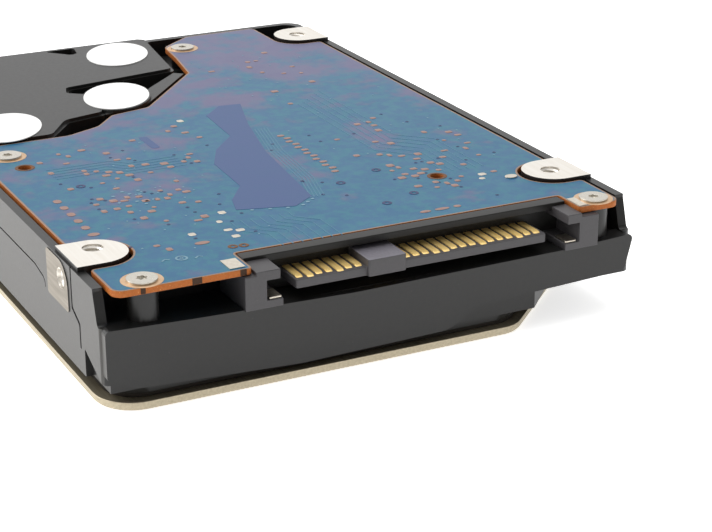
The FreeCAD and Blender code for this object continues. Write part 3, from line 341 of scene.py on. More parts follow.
# Openings plugged with mask ink: dark blue dimples.
PLUGGED_VIA = Finish("plugged_via", "27305a", "2e3a66", roughness=(0.4, 0.5), grain_mm=0.4, bump_mm=0.01,
                     gloss=0.3)
# Silk-screened marking ink: pale blue-white, slightly thick.
PRINT_INK = Finish("screen_print_ink", "7397a8", "658a9c", roughness=(0.5, 0.6), grain_mm=0.2, bump_mm=0.01)
# The mask itself, screened over the copper: blue and softly glossy, so the copper beneath tints it.
MASK = SolderMask("blue_solder_mask", "256185", "215c81", roughness=(0.30, 0.42), grain_mm=5.0,
                  bump_mm=0.004, gloss=0.2)
# Cut edge of the glass-epoxy board: orange-brown with glass layers showing as pale flecks.
LAMINATE_EDGE = Finish("cut_glass_epoxy", "b8692a", "9c5420", roughness=(0.55, 0.7), grain_mm=0.3,
                       bump_mm=0.02, gloss=0.3, fleck="d39a58", fleck_mm=0.15, fleck_share=0.45)
# Routed laminate where the panel's bridges were snapped: dark, rough and dull.
CHARRED_EDGE = Finish("snapped_laminate", "3a2a20", "4a3527", roughness=(0.6, 0.8), grain_mm=0.2,
                      bump_mm=0.02, gloss=0.2)
# The bare margin where the mask stops short of the edge: tan, with the weave faint beneath.
LAMINATE_MARGIN = Finish("bare_laminate_margin", "8d715c", "9a7d68", roughness=(0.42, 0.55),
                         pattern=Pattern.WOVEN, grain_mm=0.4, bump_mm=0.004, gloss=0.4)
# Transfer-moulded chip packages: charcoal with fine matt grain.
CHIP_EPOXY = Finish("moulded_chip_epoxy", "242425", "2c2c2d", roughness=(0.55, 0.7), grain_mm=0.2,
                    bump_mm=0.006)
# Fired ceramic capacitors: tan and matt, like unglazed stoneware.
CERAMIC = Finish("fired_ceramic", "a98f6b", "b79d7a", roughness=(0.5, 0.6), grain_mm=0.2, bump_mm=0.004)
# Resistors under a fired glaze: near black and a little shiny.
RESISTOR = Finish("glazed_resistor", "1b1c20", "24262b", roughness=(0.3, 0.4), grain_mm=0.2, bump_mm=0.003)
# Ferrite pressed from powder: dark grey, dull and faintly grainy.
FERRITE = Finish("pressed_ferrite", "3a3b3c", "454647", roughness=(0.6, 0.7), grain_mm=0.2, bump_mm=0.01)
# Calendered polyester film between board and casting: dark, with slow waves.
POLYESTER = Finish("polyester_film", "22262b", "2b3036", roughness=(0.4, 0.5), grain_mm=1.2, bump_mm=0.01)
# White coated paper seals: matt white with a faint fibre.
SEAL_PAPER = Finish("coated_paper", "fbfbfa", "f2f2f0", roughness=(0.55, 0.65), grain_mm=0.6, bump_mm=0.006,
                    gloss=0.3)
# The printed label stock on the cover: white film with a soft satin face.
LABEL_FILM = Finish("label_film", "f1f1ee", "e8e8e4", roughness=(0.35, 0.45), grain_mm=1.5, bump_mm=0.004)
# Offset ink on the label: slate blue, flush with the film.
LABEL_INK = Finish("offset_ink", "3c4550", "46505c", roughness=(0.4, 0.5), grain_mm=0.3, bump_mm=0.002)
# Pressed felt filters: cream, fibrous and without shine.
FELT = Finish("pressed_felt", "d8d3c4", "c4bda9", roughness=(0.9, 1.0), grain_mm=0.3, bump_mm=0.08, gloss=0.1)
# Sintered bronze bearing sleeve: brown gold with open pores.
BRONZE = Finish("sintered_bronze", "a3793f", "8a6433", metallic=1.0, roughness=(0.4, 0.55), grain_mm=0.15,
                bump_mm=0.01)
# Stainless steel ground between centres: bright, with fine rings.
STAINLESS = Finish("ground_stainless", "c4c4c3", "b2b2b1", metallic=1.0, roughness=(0.16, 0.28),
                   pattern=Pattern.TURNED, grain_mm=0.3, bump_mm=0.002, centre_mm=(0.0, 15.4))
# The same ground steel about the arm's pivot.
PIVOT_STEEL = Finish("ground_bearing_steel", "c0c0bf", "adadac", metallic=1.0, roughness=(0.16, 0.28),
                     pattern=Pattern.TURNED, grain_mm=0.3, bump_mm=0.002, centre_mm=(-8.0, -23.3))
# Stamped silicon steel sheets: mid grey, with a dull oxide.
CORE_STEEL = Finish("stamped_core_steel", "6d6f73", "7a7c80", metallic=1.0, roughness=(0.4, 0.55),
                    grain_mm=0.25, bump_mm=0.01)
# Enamelled wire laid in rows: copper red with the turns as fine ridges.
WINDING = Finish("enamelled_wire", "b5602f", "7c3a1c", metallic=0.8, roughness=(0.28, 0.42),
                 pattern=Pattern.WOUND, grain_mm=0.5, bump_mm=0.05, centre_mm=(0.0, 15.4))
# The arm's coil of the same wire, bonded flat.
COIL_WIRE = Finish("bonded_coil_wire", "b5602f", "7c3a1c", metallic=0.8, roughness=(0.28, 0.42),
                   pattern=Pattern.WOUND, grain_mm=0.5, bump_mm=0.05, centre_mm=(-14.0, -36.0))
# Pressed yokes under nickel: warm silver, softly smooth.
YOKE_STEEL = Finish("nickel_plated_yoke", "c9c6be", "b9b6ae", metallic=1.0, roughness=(0.26, 0.38),
                    grain_mm=0.6, bump_mm=0.004)
# Plated rare-earth magnets: cool silver and smooth.
MAGNET = Finish("plated_magnet", "b7b8ba", "a6a7a9", metallic=1.0, roughness=(0.18, 0.3), grain_mm=0.8,
                bump_mm=0.004)
# Moulded acetal: milky white and slippery smooth.
RAMP_RESIN = Finish("acetal_resin", "e2ddcf", "d6d0c0", roughness=(0.35, 0.45), grain_mm=0.5, bump_mm=0.004)
# Cast polyimide film: amber and glossy.
POLYIMIDE = Finish("polyimide_film", "b5742a", "a3641f", roughness=(0.28, 0.4), grain_mm=0.8, bump_mm=0.004,
                   gloss=0.6)
# Glass-filled brackets, moulded: charcoal, satin.
BRACKET_RESIN = Finish("moulded_bracket_resin", "39393b", "434346", roughness=(0.45, 0.55), grain_mm=0.3,
                       bump_mm=0.004)
# The arm, extruded and then milled: pale metal with lines along it.
ARM_ALUMINIUM = Finish("extruded_arm_aluminium", "cbcac7", "bcbbb8", metallic=1.0, roughness=(0.28, 0.4),
                       pattern=Pattern.BRUSHED, grain_mm=0.3, bump_mm=0.003)
# Etched spring steel: thin, bright and nearly smooth.
SPRING_STEEL = Finish("etched_spring_steel", "d2d0cc", "c3c1bd", metallic=1.0, roughness=(0.2, 0.3),
                      pattern=Pattern.BRUSHED, grain_mm=0.2, bump_mm=0.002)
# Lapped ceramic heads: black and flat, with a low shine.
SLIDER = Finish("lapped_slider_ceramic", "2d2b2c", "393738", roughness=(0.2, 0.3), grain_mm=0.1,
                bump_mm=0.001)
# A lit table of translucent acrylic: white, matt and faintly glowing, which keeps the shadow soft.
LIT_TABLE = Finish("lit_translucent_acrylic", "fafafa", "f6f6f5", roughness=(0.8, 0.9), grain_mm=40.0,
                   bump_mm=0.01, gloss=0.1, glow=0.72)


# ---------------------------------------------------------------- mesh tools

class Solid:
    """A mesh under construction, in millimetres of the drive's frame."""

    def __init__(self) -> None:
        """Starts with nothing."""
        self.bm = bmesh.new()

    def prism(self, outline: Sequence[Point], low: float, high: float, paint: int = 0) -> None:
        """Adds a flat piece with straight sides.

        Args:
            outline: Its corners, anticlockwise seen from above.
            low: Its lower height.
            high: Its upper height.
            paint: The index of its finish.
        """
        floor = [self.bm.verts.new((x * MM, y * MM, low * MM)) for x, y in outline]
        roof = [self.bm.verts.new((x * MM, y * MM, high * MM)) for x, y in outline]
        faces = [self.bm.faces.new(floor[::-1]), self.bm.faces.new(roof)]
        for i, corner in enumerate(floor):
            after = (i + 1) % len(floor)
            faces.append(self.bm.faces.new((corner, floor[after], roof[after], roof[i])))
        for face in faces:
            face.material_index = paint

    def ring(self, centre: Point, outer: float, inner: float, low: float, high: float,
             steps: int = 28) -> None:
        """Adds a flat ring.

        Args:
            centre: Its centre.
            outer: Its outer radius.
            inner: Its inner radius.
            low: Its lower height.
            high: Its upper height.
            steps: How many flats make the circle.
        """
        rims = []
        for radius, z in ((outer, low), (outer, high), (inner, high), (inner, low)):
            circle = oval(*centre, 2 * radius, 2 * radius, steps)
            rims.append([self.bm.verts.new((x * MM, y * MM, z * MM)) for x, y in circle])
        for row, after_row in zip(rims, rims[1:] + rims[:1]):
            for i in range(steps):
                j = (i + 1) % steps
                self.bm.faces.new((row[i], row[j], after_row[j], after_row[i]))

    def strip(self, route: Sequence[Point], width: float, low: float, high: float, paint: int = 0) -> None:
        """Adds a flat strip that follows a route.

        Args:
            route: The points it passes through.
            width: How wide it is.
            low: Its lower height.
            high: Its upper height.
            paint: The index of its finish.
        """
        left, right = [], []
        for i, point in enumerate(route):
            before = Vector(route[max(i - 1, 0)])
            after = Vector(route[min(i + 1, len(route) - 1)])
            way = (after - before).normalized()
            side = Vector((-way.y, way.x)) * width / 2
            left.append(tuple(Vector(point) + side))
            right.append(tuple(Vector(point) - side))
        self.prism(right + left[::-1], low, high, paint)

    def piece(self, name: str, body: str, finishes: Sequence[Finish],
              bevel: float = 0.0) -> bpy.types.Object:
        """Finishes the mesh as a piece that rides on a body.

        Args:
            name: The piece's name.
            body: The body it rides on.
            finishes: Its finishes, in the order of their indices.
            bevel: The width of its rounded edges, or 0 for none.

        Returns:
            The new object.
        """
        bmesh.ops.recalc_face_normals(self.bm, faces=self.bm.faces)
        made = as_object(self.bm, name, finishes, bevel)
        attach(made, body)
        LOG.info("%s: %d faces", name, len(made.data.polygons))
        return made


def as_object(bm: bmesh.types.BMesh, name: str, finishes: Sequence[Finish], bevel: float) -> bpy.types.Object:
    """Turns a finished mesh into an object of the scene, smooth across shallow edges only.

    Args:
        bm: The mesh, which is used up.
        name: The object's name.
        finishes: Its finishes.
        bevel: The width of its rounded edges in millimetres, or 0.

    Returns:
        The new object.
    """
    for edge in bm.edges:
        edge.smooth = edge.is_manifold and edge.calc_face_angle(0.0) < SHARP_TURN
    for face in bm.faces:
        face.smooth = True
    mesh = bpy.data.meshes.new(name)
    bm.to_mesh(mesh)
    bm.free()
    for finish in finishes:
        mesh.materials.append(finish.material())
    made = bpy.data.objects.new(name, mesh)
    bpy.context.scene.collection.objects.link(made)
    if bevel:
        edges = made.modifiers.new("broken_edges", "BEVEL")
        edges.limit_method = "ANGLE"
        edges.angle_limit = SHARP_TURN
        edges.width = bevel * MM
        edges.segments = 2
        edges.use_clamp_overlap = True
        made.modifiers.new("even_shading", "WEIGHTED_NORMAL").keep_sharp = False
    return made


def refined(node: str, name: str, body: str, finishes: Sequence[Finish], bevel: float,
            paint: Optional[Callable[[bmesh.types.BMFace], int]] = None) -> None:
    """Makes a cleaned copy of a CAD node with broken edges and painted faces, and shows it instead.

    Args:
        node: The CAD node.
        name: The new piece's name.
        body: The body it rides on.
        finishes: Its finishes.
        bevel: The width of its broken edges, in millimetres.
        paint: Gives the index of a face's finish, or None for the first.
    """
    bm = cleaned(node)
    for face in bm.faces:
        face.material_index = paint(face) if paint else 0
    stand_in(as_object(bm, name, finishes, bevel), node, body)


def stand_in(made: bpy.types.Object, node: str, body: str) -> None:
    """Shows a piece instead of a CAD node.

    Args:
        made: The piece.
        node: The CAD node.
        body: The body it rides on.
    """
    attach(made, body)
    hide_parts(node)
    LOG.info("%s replaces %s", made.name, node)


def cleaned(node: str) -> bmesh.types.BMesh:
    """A CAD node's mesh with its points joined and its flat faces made whole."""
    bm = bmesh.new()
    bm.from_mesh(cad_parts[node].data)
    bmesh.ops.remove_doubles(bm, verts=bm.verts, dist=0.002 * MM)
    bmesh.ops.dissolve_limit(bm, angle_limit=math.radians(0.4), verts=bm.verts, edges=bm.edges)
    return bm


def dress(finishes: dict[str, Finish]) -> None:
    """Gives CAD nodes that stay on show their finishes.

    Args:
        finishes: Node name to finish.
    """
    for node, finish in finishes.items():
        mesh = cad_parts[node].data
        for i in range(max(1, len(mesh.materials))):
            if mesh.materials:
                mesh.materials[i] = finish.material()
            else:
                mesh.materials.append(finish.material())
        LOG.info("%s: %s", node, finish.name)


def plate(left: float, front: float, right: float, rear: float) -> list[Point]:
    """A rectangle's corners between its four sides, anticlockwise."""
    return [(left, front), (right, front), (right, rear), (left, rear)]


def oval(x: float, y: float, width: float, length: float, steps: int = 16) -> list[Point]:
    """An ellipse's corners, anticlockwise."""
    return [(x + width / 2 * math.cos(turn), y + length / 2 * math.sin(turn))
            for turn in (2 * math.pi * i / steps for i in range(steps))]


def rounded_box(x: float, y: float, width: float, length: float, radius: float = 0.15) -> list[Point]:
    """A rectangle's corners about its centre, each cut by a short flat, anticlockwise."""
    half_x, half_y = width / 2, length / 2
    return [(x - half_x + radius, y - half_y), (x + half_x - radius, y - half_y),
            (x + half_x, y - half_y + radius), (x + half_x, y + half_y - radius),
            (x + half_x - radius, y + half_y), (x - half_x + radius, y + half_y),
            (x - half_x, y + half_y - radius), (x - half_x, y - half_y + radius)]


# ---------------------------------------------------------------- the case

@dataclass
class Casting:
    """The coated casting: its milled pads, its long sides painted lighter as painted sheen, and tapped holes.
    """

    half_width: float = 34.925
    pad_height: float = 15.0
    mount_x: float = 30.86
    mount_rows: Point = (-36.1, 40.5)
    side_height: float = 12.0
    side_relief: float = 0.4
    hole_radius: float = 1.25
    hole_depth: float = 3.1
    side_hole_depth: float = 2.6
    thread_pitch: float = 0.5
    thread_depth: float = 0.2
    thread_start: float = 0.25
    thread_length: float = 2.4
    side_thread_length: float = 2.0

    def build(self) -> None:
        """Builds the casting and its threads."""
        refined("base_casting", "casting_body", "case",
                [CAST_COAT, CAST_SIDE_SHEEN, MILLED, MILLED_SIDE], 0.14, self.paint)
        threads = Solid()
        for side in (-1, 1):
            for y in self.mount_rows:
                top = Vector((side * self.mount_x, y, self.pad_height - self.thread_start))
                outside = Vector((side * (self.half_width - self.thread_start), y, self.side_height))
                self.thread(threads, top, Vector((0, 0, -1)), self.thread_length)
                self.thread(threads, outside, Vector((-side, 0, 0)), self.side_thread_length)
        threads.piece("tapped_threads", "case", [MILLED])

    def paint(self, face: bmesh.types.BMFace) -> int:
        """Picks a face's finish: coated, coated with painted sheen on the long sides, or milled.

        Args:
            face: The face, in metres.

        Returns:
            0 for the coat, 1 for the long sides with painted sheen, 2 for the milled tops and holes, 3 for
            the side pads.
        """
        middle = face.calc_center_median() / MM
        if face.normal.z > 0.9 and middle.z > self.pad_height - SKIN:
            return 2
        # Faces near the long sides take a greyer copy of the coat: painted sheen for the light they reflect.
        outer = abs(middle.x) > self.half_width - self.side_relief and abs(face.normal.x) > 0.5
        if outer and abs(middle.x) > self.half_width - SKIN:
            return 3
        bore = self.hole_radius + SKIN
        for y in self.mount_rows:
            in_top_hole = math.hypot(abs(middle.x) - self.mount_x, middle.y - y) < bore
            if in_top_hole and middle.z > self.pad_height - self.hole_depth:
                return 2
            in_side_hole = math.hypot(middle.y - y, middle.z - self.side_height) < bore
            if in_side_hole and abs(middle.x) > self.half_width - self.side_hole_depth:
                return 2
        return 1 if outer else 0

    def thread(self, solid: Solid, mouth: Vector, way: Vector, depth: float) -> None:
        """Adds a screw thread's ridge inside a hole.

        Args:
            solid: The mesh it goes into.
            mouth: Where the hole starts, in millimetres.
            way: The direction into the material.
            depth: How deep the thread runs.
        """
        turns, steps = depth / self.thread_pitch, 20
        across = way.orthogonal().normalized()
        along = way.cross(across)
        root, crest, flank = self.hole_radius - 0.01, self.hole_radius - self.thread_depth, 0.2
        section = [(root, -flank), (crest, 0.0), (root, flank)]
        rows = []
        for i in range(int(turns * steps) + 1):
            turn = 2 * math.pi * i / steps
            out = across * math.cos(turn) + along * math.sin(turn)
            start = mouth + way * self.thread_pitch * i / steps
            rows.append([solid.bm.verts.new((start + out * radius + way * lift) * MM)
                         for radius, lift in section])
        for before, after in zip(rows, rows[1:]):
            for k in range(3):
                j = (k + 1) % 3
                solid.bm.faces.new((before[k], before[j], after[j], after[k]))
        solid.bm.faces.new(rows[0])
        solid.bm.faces.new(rows[-1][::-1])


@dataclass
class Cover:
    """The pressed cover, its gasket, its screws and its label without lettering."""

    label: tuple[float, float, float, float] = (-24.6, -15.6, 24.6, 40.6)
    label_face: float = 0.08
    ink: float = 0.01
    edge_gap: Point = (1.5, 1.2)
    text_gap: float = 3.0
    line_pitch: float = 3.2
    bar_pitch: float = 1.1
    bar_rows: Point = (12.0, 6.0)

    def build(self) -> None:
        """Builds the cover side."""
        refined("top_cover", "cover_plate", "case", [COVER_STEEL], 0.12)
        refined("cover_gasket", "gasket_ring", "case", [GASKET], 0.08)
        refined("cover_screws", "cover_screw_set", "case", [SCREW], 0.05)
        dress({"blank_label": LABEL_FILM, "breather_filter": FELT, "recirculation_filter": FELT,
               "desiccant_pack": FELT, "port_seals": SEAL_PAPER})
        self.print_label()

    def print_label(self) -> None:
        """Prints plain rules and a row of bars that encodes nothing, with no lettering."""
        left, front, right, rear = self.label
        low, high = self.label_face - self.ink, self.label_face
        side_gap, end_gap = self.edge_gap
        printed = Solid()
        for y in (front + end_gap, rear - end_gap):
            printed.prism(plate(left + side_gap, y - 0.15, right - side_gap, y + 0.15), low, high)
        start = left + self.text_gap
        for row in range(6):
            y = front + 6.0 + row * self.line_pitch
            printed.prism(plate(start, y, start + 30.0 - 4.0 * (row % 3), y + 0.35), low, high)
        for i in range(24):
            x = start + i * self.bar_pitch
            width = 0.3 + 0.25 * (i % 3)
            printed.prism(plate(x, rear - self.bar_rows[0], x + width, rear - self.bar_rows[1]), low, high)
        printed.piece("label_rules", "case", [LABEL_INK])


@dataclass
class Connector:
    """The twin-port plug with its gold blades."""

    block_half: float = 2.6
    block_top: float = 13.2
    lip_low: float = 14.5
    slot_front: float = -46.5
    slot: Point = (-13.6, 24.9)
    blade_front: float = -48.0
    blade_top: float = 12.3
    blade_slope: float = 0.36

    def build(self) -> None:
        """Builds the plug."""
        refined("connector_housing", "plug_housing", "case",
                [CONNECTOR_PLASTIC, CONNECTOR_SHADE, CONNECTOR_SHEEN], 0.12, self.paint)
        refined("second_port_contacts", "second_port_blades", "case", [GOLD], 0.05)
        for node, name in (("signal_contacts", "signal_blades"), ("power_contacts", "power_blades")):
            self.blades(node, name)
        refined("connector_clips", "plug_clips", "case", [TINNED], 0.06)
        dress({"connector_solder_tabs": TINNED})

    def blades(self, node: str, name: str) -> None:
        """Builds a row of blades whose front ends are pressed down to a slope, which catches the light.

        Args:
            node: The row's CAD node.
            name: The new piece's name.
        """
        bm = cleaned(node)
        for vert in bm.verts:
            if vert.co.y < self.blade_front * MM and vert.co.z > self.blade_top * MM:
                vert.co.y += self.blade_slope * MM
        stand_in(as_object(bm, name, [GOLD], 0.02), node, "case")

    def paint(self, face: bmesh.types.BMFace) -> int:
        """Chooses a face's finish.

        Args:
            face: A face of the plug.

        Returns:
            0 for plain plastic, 1 for painted shade in and above the slot behind the blades, 2 for painted
            sheen on top of the block.
        """
        middle = face.calc_center_median() / MM
        if not self.slot[0] < middle.x < self.slot[1]:
            return 0
        # The top of the block takes a pale copy of the plastic as painted sheen.
        on_block = abs(middle.x) < self.block_half and abs(middle.z - self.block_top) < SKIN
        if on_block and face.normal.z > 0.9:
            return 2
        # Faces in and above the slot take a near black copy of the plastic as painted shade.
        dark = face.normal.y < -0.7 or middle.z > self.lip_low
        return 1 if dark and middle.y > self.slot_front else 0


@dataclass(frozen=True)
class LandGroup:
    """A loose group of small lands that serves one part of the circuit."""

    centre: Point
    spread: Point
    tries: int


@dataclass(frozen=True)
class TrackBundle:
    """Tracks side by side: the first one's route, and how far each point moves from track to track."""

    count: int
    route: tuple[Point, ...]
    steps: tuple[Point, ...]
    width: float = 0.15


@dataclass
class Board:
    """The printed circuit board: its mask, copper, lands, prints and screws."""

    face: float = 14.65
    low: float = 13.85
    front: float = -49.48
    margin: float = 0.26
    edge_gap: float = 0.05
    sunk: float = 0.01
    copper: float = 0.03
    track_rise: float = 0.02
    point_rise: float = 0.035
    land_rise: float = 0.04
    screws: tuple[Point, ...] = ((-29.1, -47.3), (30.2, -47.2), (-29.2, 1.7), (11.7, 42.0))
    tooling_holes: tuple[Point, ...] = ((-28.6, -3.7), (17.2, -30.9))
    copper_groups: tuple[LandGroup, ...] = (
        LandGroup((-23.3, -22.5), (1.9, 3.0), 14), LandGroup((-18.0, -26.5), (4.5, 6.5), 34),
        LandGroup((-19.0, -8.0), (7.5, 9.5), 34), LandGroup((-9.3, -10.0), (1.9, 1.9), 6),
        LandGroup((-23.2, -38.5), (0.8, 1.8), 4), LandGroup((-4.8, 1.0), (1.7, 4.0), 6),
        LandGroup((15.4, -27.4), (2.8, 3.0), 12), LandGroup((20.5, -20.0), (9.0, 15.5), 50),
        LandGroup((17.0, 21.0), (8.0, 15.0), 12))
    tinned_groups: tuple[LandGroup, ...] = (
        LandGroup((-15.8, -35.0), (3.5, 5.0), 6), LandGroup((22.2, -33.5), (1.6, 0.8), 3),
        LandGroup((-20.3, -22.0), (1.0, 1.0), 1), LandGroup((-2.9, 6.4), (0.5, 0.5), 1))
    large_vias: tuple[Point, ...] = ((11.4, -25.2), (5.1, -27.7), (11.5, -35.3), (6.8, -37.1), (-24.6, -14.0))
    edge_row: Point = (-29.1, -18.2)
    middle_row: Point = (6.5, -6.4)
    assembly_mark: Point = (-22.7, -43.1)
    bundles: tuple[TrackBundle, ...] = (
        TrackBundle(5, ((-0.6, -31.0), (1.2, -24.0), (2.4, -12.0), (4.6, -2.0)),
                    ((0.45, 0.0), (0.45, 0.0), (0.45, 0.0), (0.45, 0.0)), 0.16),
        TrackBundle(7, ((-10.6, -44.5), (-10.6, -40.5), (-13.0, -38.1), (-13.0, -34.6)),
                    ((1.27, 0.0), (1.27, 0.3), (1.27, 0.3), (1.27, 0.0))),
        TrackBundle(6, ((19.0, -30.0), (19.0, -22.0), (15.0, -18.0), (15.0, 6.0)),
                    ((1.1, 0.0), (1.1, 1.0), (1.1, 1.0), (1.1, 1.0))),
        TrackBundle(5, ((-26.5, -6.0), (-18.0, -6.0), (-16.0, -8.0), (-9.5, -8.0)),
                    ((0.0, -1.0), (-0.41, -1.0), (-0.41, -1.0), (0.0, -1.0))))
    pour: tuple[Point, ...] = ((1.1, 6.8), (0.4, -3.3), (-3.7, -8.1), (-6.2, -13.4), (-6.7, -23.0),
                               (-9.7, -27.4), (-10.7, -31.0), (-3.6, -33.0), (-0.3, -30.5), (1.9, -11.9),
                               (4.8, 0.6), (7.7, 10.0), (4.5, 10.4))

    def build(self) -> None:
        """Builds the board and everything printed or soldered on its outer face."""
        self.laminate()
        self.masked_copper()
        self.lands()
        self.test_points()
        self.marks()
        self.screw_lands()
        refined("board_screws", "board_screw_set", "case", [SCREW], 0.05)

    def laminate(self) -> None:
        """Builds the board with its mask stopping short of the edge."""
        bm = cleaned("circuit_board")
        top = [face for face in bm.faces
               if face.normal.z > 0.9 and face.calc_center_median().z > (self.face - SKIN) * MM]
        for face in bm.faces:
            face.material_index = 0 if abs(face.normal.z) > 0.9 else 2
        rim = bmesh.ops.inset_region(bm, faces=top, thickness=self.margin * MM, use_even_offset=True)
        for face in rim["faces"]:
            face.material_index = 1
        made = as_object(bm, "board_laminate_body", [MASK, LAMINATE_MARGIN, LAMINATE_EDGE], 0.06)
        stand_in(made, "circuit_board", "case")

    def masked_copper(self) -> None:
        """Adds the wide copper area and the tracks that lift the mask."""
        low, high = self.face - self.sunk, self.face + self.track_rise
        area = Solid()
        area.prism(self.pour, low, self.face + self.copper)
        area.prism(rounded_box(-10.4, -1.0, 1.2, 5.4, 0.3), low, high)
        area.piece("copper_pour", "case", [COPPER_POUR], 0.02)

        tracks = Solid()
        for bundle in self.bundles:
            for i in range(bundle.count):
                route = [(x + step_x * i, y + step_y * i)
                         for (x, y), (step_x, step_y) in zip(bundle.route, bundle.steps)]
                tracks.strip(route, bundle.width, low, high)
        tracks.piece("masked_tracks", "case", [MASKED_TRACK])

    def lands(self) -> None:
        """Adds the bare copper lands, in the groups that they serve, then the tinned and fluxed ones."""
        low, high = self.face - self.sunk, self.face + self.land_rise
        lands = Solid()
        x, y = self.edge_row
        for i in range(5):
            lands.prism(rounded_box(x, y - 2.6 * i, 1.0, 1.3, 0.3), low, high)
        lands.prism(oval(-29.0, -31.2, 1.5, 1.1), low, high)
        x, y = self.middle_row
        for i in range(13):
            lands.prism(rounded_box(x + 0.35 * (i % 2), y - 1.4 * i, 1.0, 0.75, 0.2), low, high)
        lands.prism(oval(-18.7, -39.6, 1.9, 1.0), low, high)
        chance = random.Random(5)
        taken = [(x, y, 2.0) for x, y in self.tooling_holes] + [(x, y, 3.2) for x, y in self.screws]
        for group in self.copper_groups:
            self.scatter(lands, chance, group, taken)
        for x, width in ((9.5, 1.5), (11.8, 2.0), (13.9, 1.0)):
            lands.prism(oval(x, -42.0, width, 0.8), low, high)
        lands.piece("bare_lands", "case", [COATED_COPPER], 0.03)

        tinned = Solid()
        for group in self.tinned_groups:
            self.scatter(tinned, chance, group, taken)
        tinned.prism(oval(25.4, -35.5, 1.7, 1.3), low, high + 0.12)
        tinned.piece("tinned_lands", "case", [TINNED], 0.06)

        fluxed = Solid()
        fluxed.ring((-16.0, -42.3), 0.62, 0.25, low, high)
        fluxed.ring((-14.7, -42.5), 0.62, 0.25, low, high)
        for x, y in self.tooling_holes:
            fluxed.ring((x, y), 1.3, 0.9, low, high)
        fluxed.piece("fluxed_lands", "case", [BROWN_COPPER], 0.03)

    def scatter(self, lands: Solid, chance: random.Random, group: LandGroup,
                taken: list[tuple[float, float, float]]) -> None:
        """Adds a group's lands at seeded places that are clear of what is already there.

        Args:
            lands: The mesh that they join.
            chance: The seeded source of chance.
            group: The group.
            taken: Each taken place and how far to keep from it, which grows.
        """
        for _ in range(group.tries):
            x = group.centre[0] + chance.uniform(-1, 1) * group.spread[0]
            y = group.centre[1] + chance.uniform(-1, 1) * group.spread[1]
            width, length = chance.uniform(0.6, 1.1), chance.uniform(0.6, 1.1)
            if any(math.dist((x, y), spot[:2]) < spot[2] for spot in taken):
                continue
            taken.append((x, y, 1.25))
            lands.prism(rounded_box(x, y, width, length, 0.18), self.face - self.sunk,
                        self.face + self.point_rise)

    def test_points(self) -> None:
        """Adds the small round test points and the plugged vias."""
        chance = random.Random(17)
        low, high = self.face - self.sunk, self.face + self.point_rise
        small = high - 0.01
        points = Solid()
        for _ in range(10):
            x, y = chance.uniform(-22.6, -18.0), chance.uniform(-24.5, -18.4)
            points.prism(oval(x, y, 0.5, 0.45, 10), low, high)
        for start, end in zip(self.pour[6:8], self.pour[7:9]):
            for share in (0.2, 0.5, 0.8):
                spot = Vector(start).lerp(Vector(end), share)
                points.prism(oval(spot.x + 0.3, spot.y - 0.5, 0.5, 0.45, 10), low, high)
        for _ in range(36):
            x, y = chance.uniform(8.0, 30.0), chance.uniform(-28.0, 34.0)
            points.prism(oval(x, y, 0.3, 0.3, 8), low, small)
        for _ in range(34):
            x, y = chance.uniform(-27.0, -8.0), chance.uniform(-42.0, 3.0)
            points.prism(oval(x, y, 0.3, 0.3, 8), low, small)
        points.piece("test_points", "case", [PRINT_INK])

        vias = Solid()
        for x, y in self.large_vias:
            vias.ring((x, y), 0.62, 0.28, low, high)
        for _ in range(60):
            x, y = chance.uniform(-27.0, 30.0), chance.uniform(-42.0, -2.0)
            vias.ring((x, y), 0.24, 0.1, low, small, steps=10)
        vias.piece("plugged_vias", "case", [PLUGGED_VIA])

    def marks(self) -> None:
        """Prints plain assembly marks: a ring between two dashes."""
        low, high = self.face - self.sunk, self.face + self.copper
        x, y = self.assembly_mark
        marks = Solid()
        marks.ring((x, y), 0.75, 0.5, low, high)
        marks.ring((x, y), 0.25, 0.1, low, high, steps=12)
        for side in (-1, 1):
            middle_x, middle_y = x + side * 1.9, y + 0.1 - 0.35 * side
            marks.strip([(middle_x - 0.5, middle_y - 0.5), (middle_x, middle_y),
                         (middle_x + 0.5, middle_y - 0.3)], 0.2, low, high)
        marks.piece("assembly_marks", "case", [PRINT_INK])

    def screw_lands(self) -> None:
        """Adds the tinned land round each board screw and the marks where the panel was broken out."""
        lands = Solid()
        for x, y in self.screws:
            lands.ring((x, y), 2.45, 1.4, self.face - self.sunk, self.face + self.land_rise)
        lands.piece("screw_lands", "case", [WARM_TIN], 0.03)
        marks = Solid()
        for x, width in ((-23.4, 1.2), (-17.8, 0.8), (-29.8, 0.6)):
            marks.prism(rounded_box(x, self.front, width, 0.1, 0.03), self.low + self.edge_gap,
                        self.face + self.sunk)
        marks.piece("break_out_marks", "case", [CHARRED_EDGE])


@dataclass
class BoardUnderside:
    """What hangs beneath the board, between it and the casting."""

    finishes: dict[str, Finish] = field(default_factory=lambda: {
        "controller_chip": CHIP_EPOXY, "memory_chip": CHIP_EPOXY, "motor_driver_chip": CHIP_EPOXY,
        "flash_chip": CHIP_EPOXY, "board_capacitors": CERAMIC, "board_resistors": RESISTOR,
        "board_inductors": FERRITE, "insulator_film": POLYESTER, "motor_contact_block": CONNECTOR_PLASTIC})

    def build(self) -> None:
        """Dresses the hanging parts."""
        dress(self.finishes)


@dataclass
class DiscPack:
    """The discs, their hub and the motor that turns them."""

    finishes: dict[str, Finish] = field(default_factory=lambda: {
        "spindle_hub": TURNED_ALUMINIUM, "spindle_shaft": STAINLESS, "rotor_magnet": FERRITE,
        "lower_platter": DISC_MIRROR, "middle_platter": DISC_MIRROR, "upper_platter": DISC_MIRROR,
        "disc_spacers": TURNED_ALUMINIUM, "disc_clamp": STAINLESS, "clamp_screws": SCREW,
        "bearing_sleeve": BRONZE, "bearing_end_cap": STAINLESS, "stator_core": CORE_STEEL,
        "stator_coils": WINDING})

    def build(self) -> None:
        """Dresses the disc pack and the motor."""
        dress(self.finishes)


